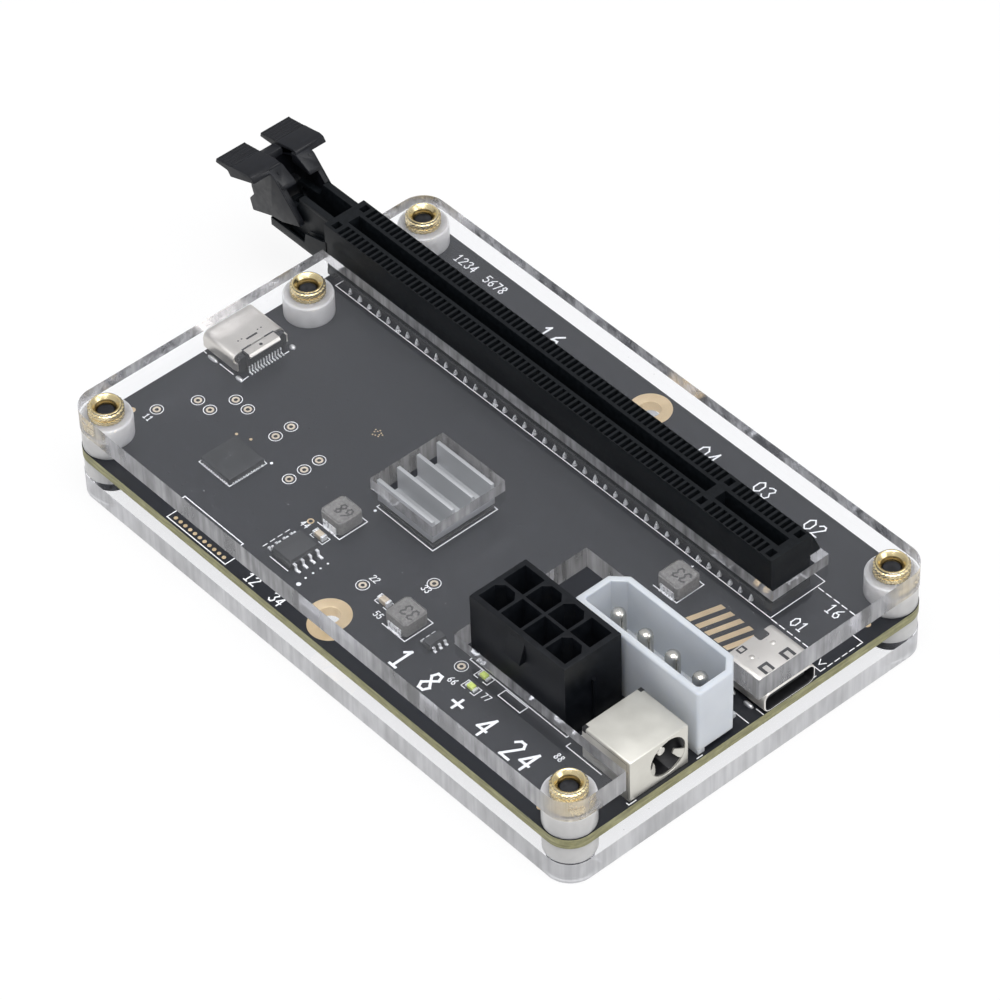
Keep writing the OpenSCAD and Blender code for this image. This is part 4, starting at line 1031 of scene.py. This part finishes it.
# small steps at the rear corners of the roof, seams under the roof and by the front edge
s.mi = 1
s.box(JX0 - 0.01, JY0 - 0.004, JZ1 - 0.75, JX0 + 0.65, JY0 + 0.62, JZ1 + 0.004)
s.box(JX0 - 0.01, JY1 - 0.62, JZ1 - 0.75, JX0 + 0.65, JY1 + 0.004, JZ1 + 0.004)
s.box(JX0 + 0.6, JY0 - 0.006, JZ1 - 0.52, JX1 - 0.5, JY0 + 0.05, JZ1 - 0.45)
s.box(JX1 - 0.56, JY0 - 0.006, Z_B1 + 0.3, JX1 - 0.5, JY0 + 0.05, JZ1 - 0.45)
s.mi = 0
finish(s, "jack_shell", ["nickel", "dark_plastic_and_shade"], replaces=("barrel_jack_shield",), smooth=35.0)
refined("barrel_jack_body", ["dark_plastic_and_shade"], 0.0)
refined("barrel_jack_pin", ["pin"], 0.0)

# ---------------------------------------------------------------- headers


def cell(cx, cy, cut):
    h = 1.85
    if cut:
        return [(cx - h, cy - h), (cx + h, cy - h), (cx + h, cy + h - 0.95), (cx + h - 0.95, cy + h), (cx - h + 0.95, cy + h),
                (cx - h, cy + h - 0.95)]
    return rect(cx - h, cy - h, cx + h, cy + h)


s = Shape()
cells_ = [cell(27.0 + (i - 1.5) * 4.2, -14.7 + (j - 0.5) * 4.2, (i in (0, 3)) if j == 0 else (i in (1, 2)))
          for i in range(4) for j in (0, 1)]
s.block(rect(18.0, -19.5, 36.0, -9.9), Z_B1, Z_B1 + 12.8, cells_, top=0.16, lip=0.07, floor=Z_B1 + 3.4)
s.prism([(-19.2, Z_B1 + 11.8), (-19.5, Z_B1 + 11.8), (-20.5, Z_B1 + 8.8), (-20.5, Z_B1 + 8.55), (-19.2, Z_B1 + 8.55)],
        25.5, 28.5, place=YZ)
for x in (17.7, 35.95):
    s.box(x, -15.0, Z_B1, x + 0.35, -14.4, Z_B1 + 8.0)
finish(s, "eight_way_body", ["header"], replaces=("cpu_power_header",), smooth=28.0)
refined("cpu_power_pins", ["gold_fine"], 0.08, 1)


def four_loop(k):
    x0, x1, y0, y1, c = 26.0, 49.2, -9.0, -0.95, 2.1
    g = c + k * 0.414
    q = 0.5
    return (arc(x0 + k + q, y0 + k + q, q, 180, 270, 5) + arc(x1 - k - q, y0 + k + q, q, 270, 360, 5)
            + [(x1 - k, y1 - g), (x1 - g, y1 - k), (x0 + g, y1 - k), (x0 + k, y1 - g)])


s = Shape()
s.block(four_loop(0.0), Z_B1 + 0.7, Z_B1 + 11.0, [four_loop(1.0)], top=0.34, lip=0.22, floor=Z_B1 + 2.2, seg=4)
s.prism([(26.0, -9.0), (47.6, -9.0), (47.6, -0.95), (28.1, -0.95), (26.0, -3.05)], Z_B1, Z_B1 + 0.72)
s.prism([(47.5, -9.0), (49.2, -9.0), (49.2, -7.9), (47.5, -7.9)], Z_B1, Z_B1 + 0.72)
finish(s, "four_way_body", ["milky"], replaces=("drive_power_header",), smooth=35.0)
s = Shape()
for i in range(4):
    x, y = 30.0 + 5.08 * i, -4.95
    s.turn([(0.0, -0.6), (1.05, -0.6), (1.05, 7.75), (1.0, 8.1), (0.86, 8.38), (0.6, 8.58), (0.3, 8.68), (0.0, 8.7)],
           (x, y, Z_B1 + 0.3), n=48)
    # wrap seam down the pin's side
    s.mi = 1
    s.prism([(x + r * math.cos(math.radians(a)), y + r * math.sin(math.radians(a)))
             for r, a in ((1.0, -21.0), (1.056, -21.0), (1.056, -16.0), (1.0, -16.0))], Z_B1 + 2.0, Z_B1 + 7.95)
    s.mi = 0
finish(s, "round_header_pins", ["pin", "dark_plastic_and_shade"], replaces=("drive_power_pins",))

# ---------------------------------------------------------------- heat sink, chips, small parts
refined("heatsink", ["sink"], 0.06, 2, least=0.3)
refined("thermal_pad", ["pad"], 0.05, 1)
refined("controller_chip", ["chip"], 0.0)
refined("inductor_bodies", ["coil"], 0.18, 3, least=0.25)
s = Shape()
number(s, "68", -10.2, -15.1, 1.7, 0.26, turn=180.0)
number(s, "33", 9.6, -20.9, 1.7, 0.26, turn=180.0)
number(s, "33", 28.5, 9.3, 1.7, 0.26, turn=180.0)
coil_top = max(v.co.z for v in NODES["inductor_bodies"].data.vertices) * 1000
bmesh.ops.translate(s.bm, vec=(0, 0, coil_top - Z_B1 - 0.01), verts=s.bm.verts)
finish(s, "inductor_figures", ["coil_ink"])
refined("inductor_terminals", ["solder"], 0.03, 1, least=0.1)
refined("eight_lead_chip", ["chip"], 0.08, 2)
refined("eight_lead_chip_leads", ["solder"], 0.03, 1, least=0.08)
refined("six_lead_chip", ["chip"], 0.06, 2)
refined("six_lead_chip_leads", ["solder"], 0.03, 1, least=0.08)
refined("square_chip", ["chip_dark"], 0.06, 2)
refined("square_chip_pads", ["solder"], 0.0)
refined("led_lenses", ["led"], 0.05, 2)
refined("led_terminals", ["solder"], 0.04, 1, least=0.1)
refined("capacitor_bodies", ["cap"], 0.05, 2)
refined("capacitor_terminals", ["solder"], 0.06, 2, least=0.15)

# ---------------------------------------------------------------- studio


def look_matrix():
    az, el, roll = (math.radians(a) for a in (49.86, 44.69, -1.96))
    back = Vector((math.sin(az) * math.cos(el), -math.cos(az) * math.cos(el), math.sin(el)))
    right = Vector((math.cos(az), math.sin(az), 0.0))
    up = back.cross(right)
    r = right * math.cos(roll) + up * math.sin(roll)
    u = up * math.cos(roll) - right * math.sin(roll)
    place = Vector((-0.00205, 0.00303, 0.0081)) + back * 0.69849
    m = Matrix((r, u, back)).transposed().to_4x4()
    m.translation = place
    return m


cam = bpy.data.cameras.new("camera")
cam.sensor_width = 36.0
cam.lens = 190.01
cam.clip_start = 0.02
cam.clip_end = 20.0
cam_ob = bpy.data.objects.new("camera", cam)
cam_ob.matrix_world = look_matrix()
bpy.context.scene.collection.objects.link(cam_ob)
bpy.context.scene.camera = cam_ob

# pale floor, lit and slightly self-lit so that it stays an even white
fm = Mat("floor_white")
diff = fm.n("ShaderNodeBsdfDiffuse")
fm.link(fm.ramp(fm.noise(6.0), [(0.3, (0.8, 0.8, 0.8)), (0.7, (0.82, 0.82, 0.82))]), diff.inputs["Color"])
emi = fm.n("ShaderNodeEmission")
emi.inputs["Color"].default_value = (1.0, 1.0, 1.0, 1)
emi.inputs["Strength"].default_value = 1.0
mixs = fm.n("ShaderNodeMixShader")
mixs.inputs[0].default_value = 0.86
fm.link(diff.outputs[0], mixs.inputs[1])
fm.link(emi.outputs[0], mixs.inputs[2])
fm.link(mixs.outputs[0], fm.out.inputs["Surface"])
me = bpy.data.meshes.new("floor")
fb = bmesh.new()
bmesh.ops.create_grid(fb, x_segments=1, y_segments=1, size=2.5)
fb.to_mesh(me)
fb.free()
me.materials.append(fm.m)
floor = bpy.data.objects.new("floor", me)
floor.location = (0, 0, -0.0003)
bpy.context.scene.collection.objects.link(floor)


def area(name, loc, target, size, power, colour=(1, 1, 1)):
    l = bpy.data.lights.new(name, "AREA")
    l.shape = "RECTANGLE"
    l.size, l.size_y = size
    l.energy = power
    l.color = colour
    o = bpy.data.objects.new(name, l)
    o.location = loc
    o.rotation_euler = (Vector(target) - Vector(loc)).to_track_quat("-Z", "Y").to_euler()
    bpy.context.scene.collection.objects.link(o)
    return o


area("key_top", (0.25, -0.12, 0.95), (0, 0, 0), (0.75, 0.75), 8.0)
area("fill_left", (-0.85, -0.75, 0.5), (0, 0, 0.01), (0.7, 0.5), 2.5).visible_glossy = False
area("fill_right", (0.9, 0.45, 0.6), (0, 0, 0.01), (0.6, 0.5), 2.2)

world = bpy.data.worlds.new("studio")
world.use_nodes = True
wt = world.node_tree
wt.nodes.clear()
wo = wt.nodes.new("ShaderNodeOutputWorld")
bg = wt.nodes.new("ShaderNodeBackground")
tc = wt.nodes.new("ShaderNodeTexCoord")
sep = wt.nodes.new("ShaderNodeSeparateXYZ")
rmp = wt.nodes.new("ShaderNodeValToRGB")
wt.links.new(tc.outputs["Generated"], sep.inputs[0])
wt.links.new(sep.outputs["Z"], rmp.inputs["Fac"])
wt.links.new(rmp.outputs["Color"], bg.inputs["Color"])
wt.links.new(bg.outputs[0], wo.inputs["Surface"])
el = rmp.color_ramp.elements
el[0].position, el[0].color = 0.0, (0.34, 0.34, 0.36, 1)
el[1].position, el[1].color = 0.75, (0.62, 0.63, 0.65, 1)
bg.inputs["Strength"].default_value = 1.0
bpy.context.scene.world = world
bpy.context.scene.view_settings.view_transform = "Standard"
bpy.context.scene.view_settings.look = "None"
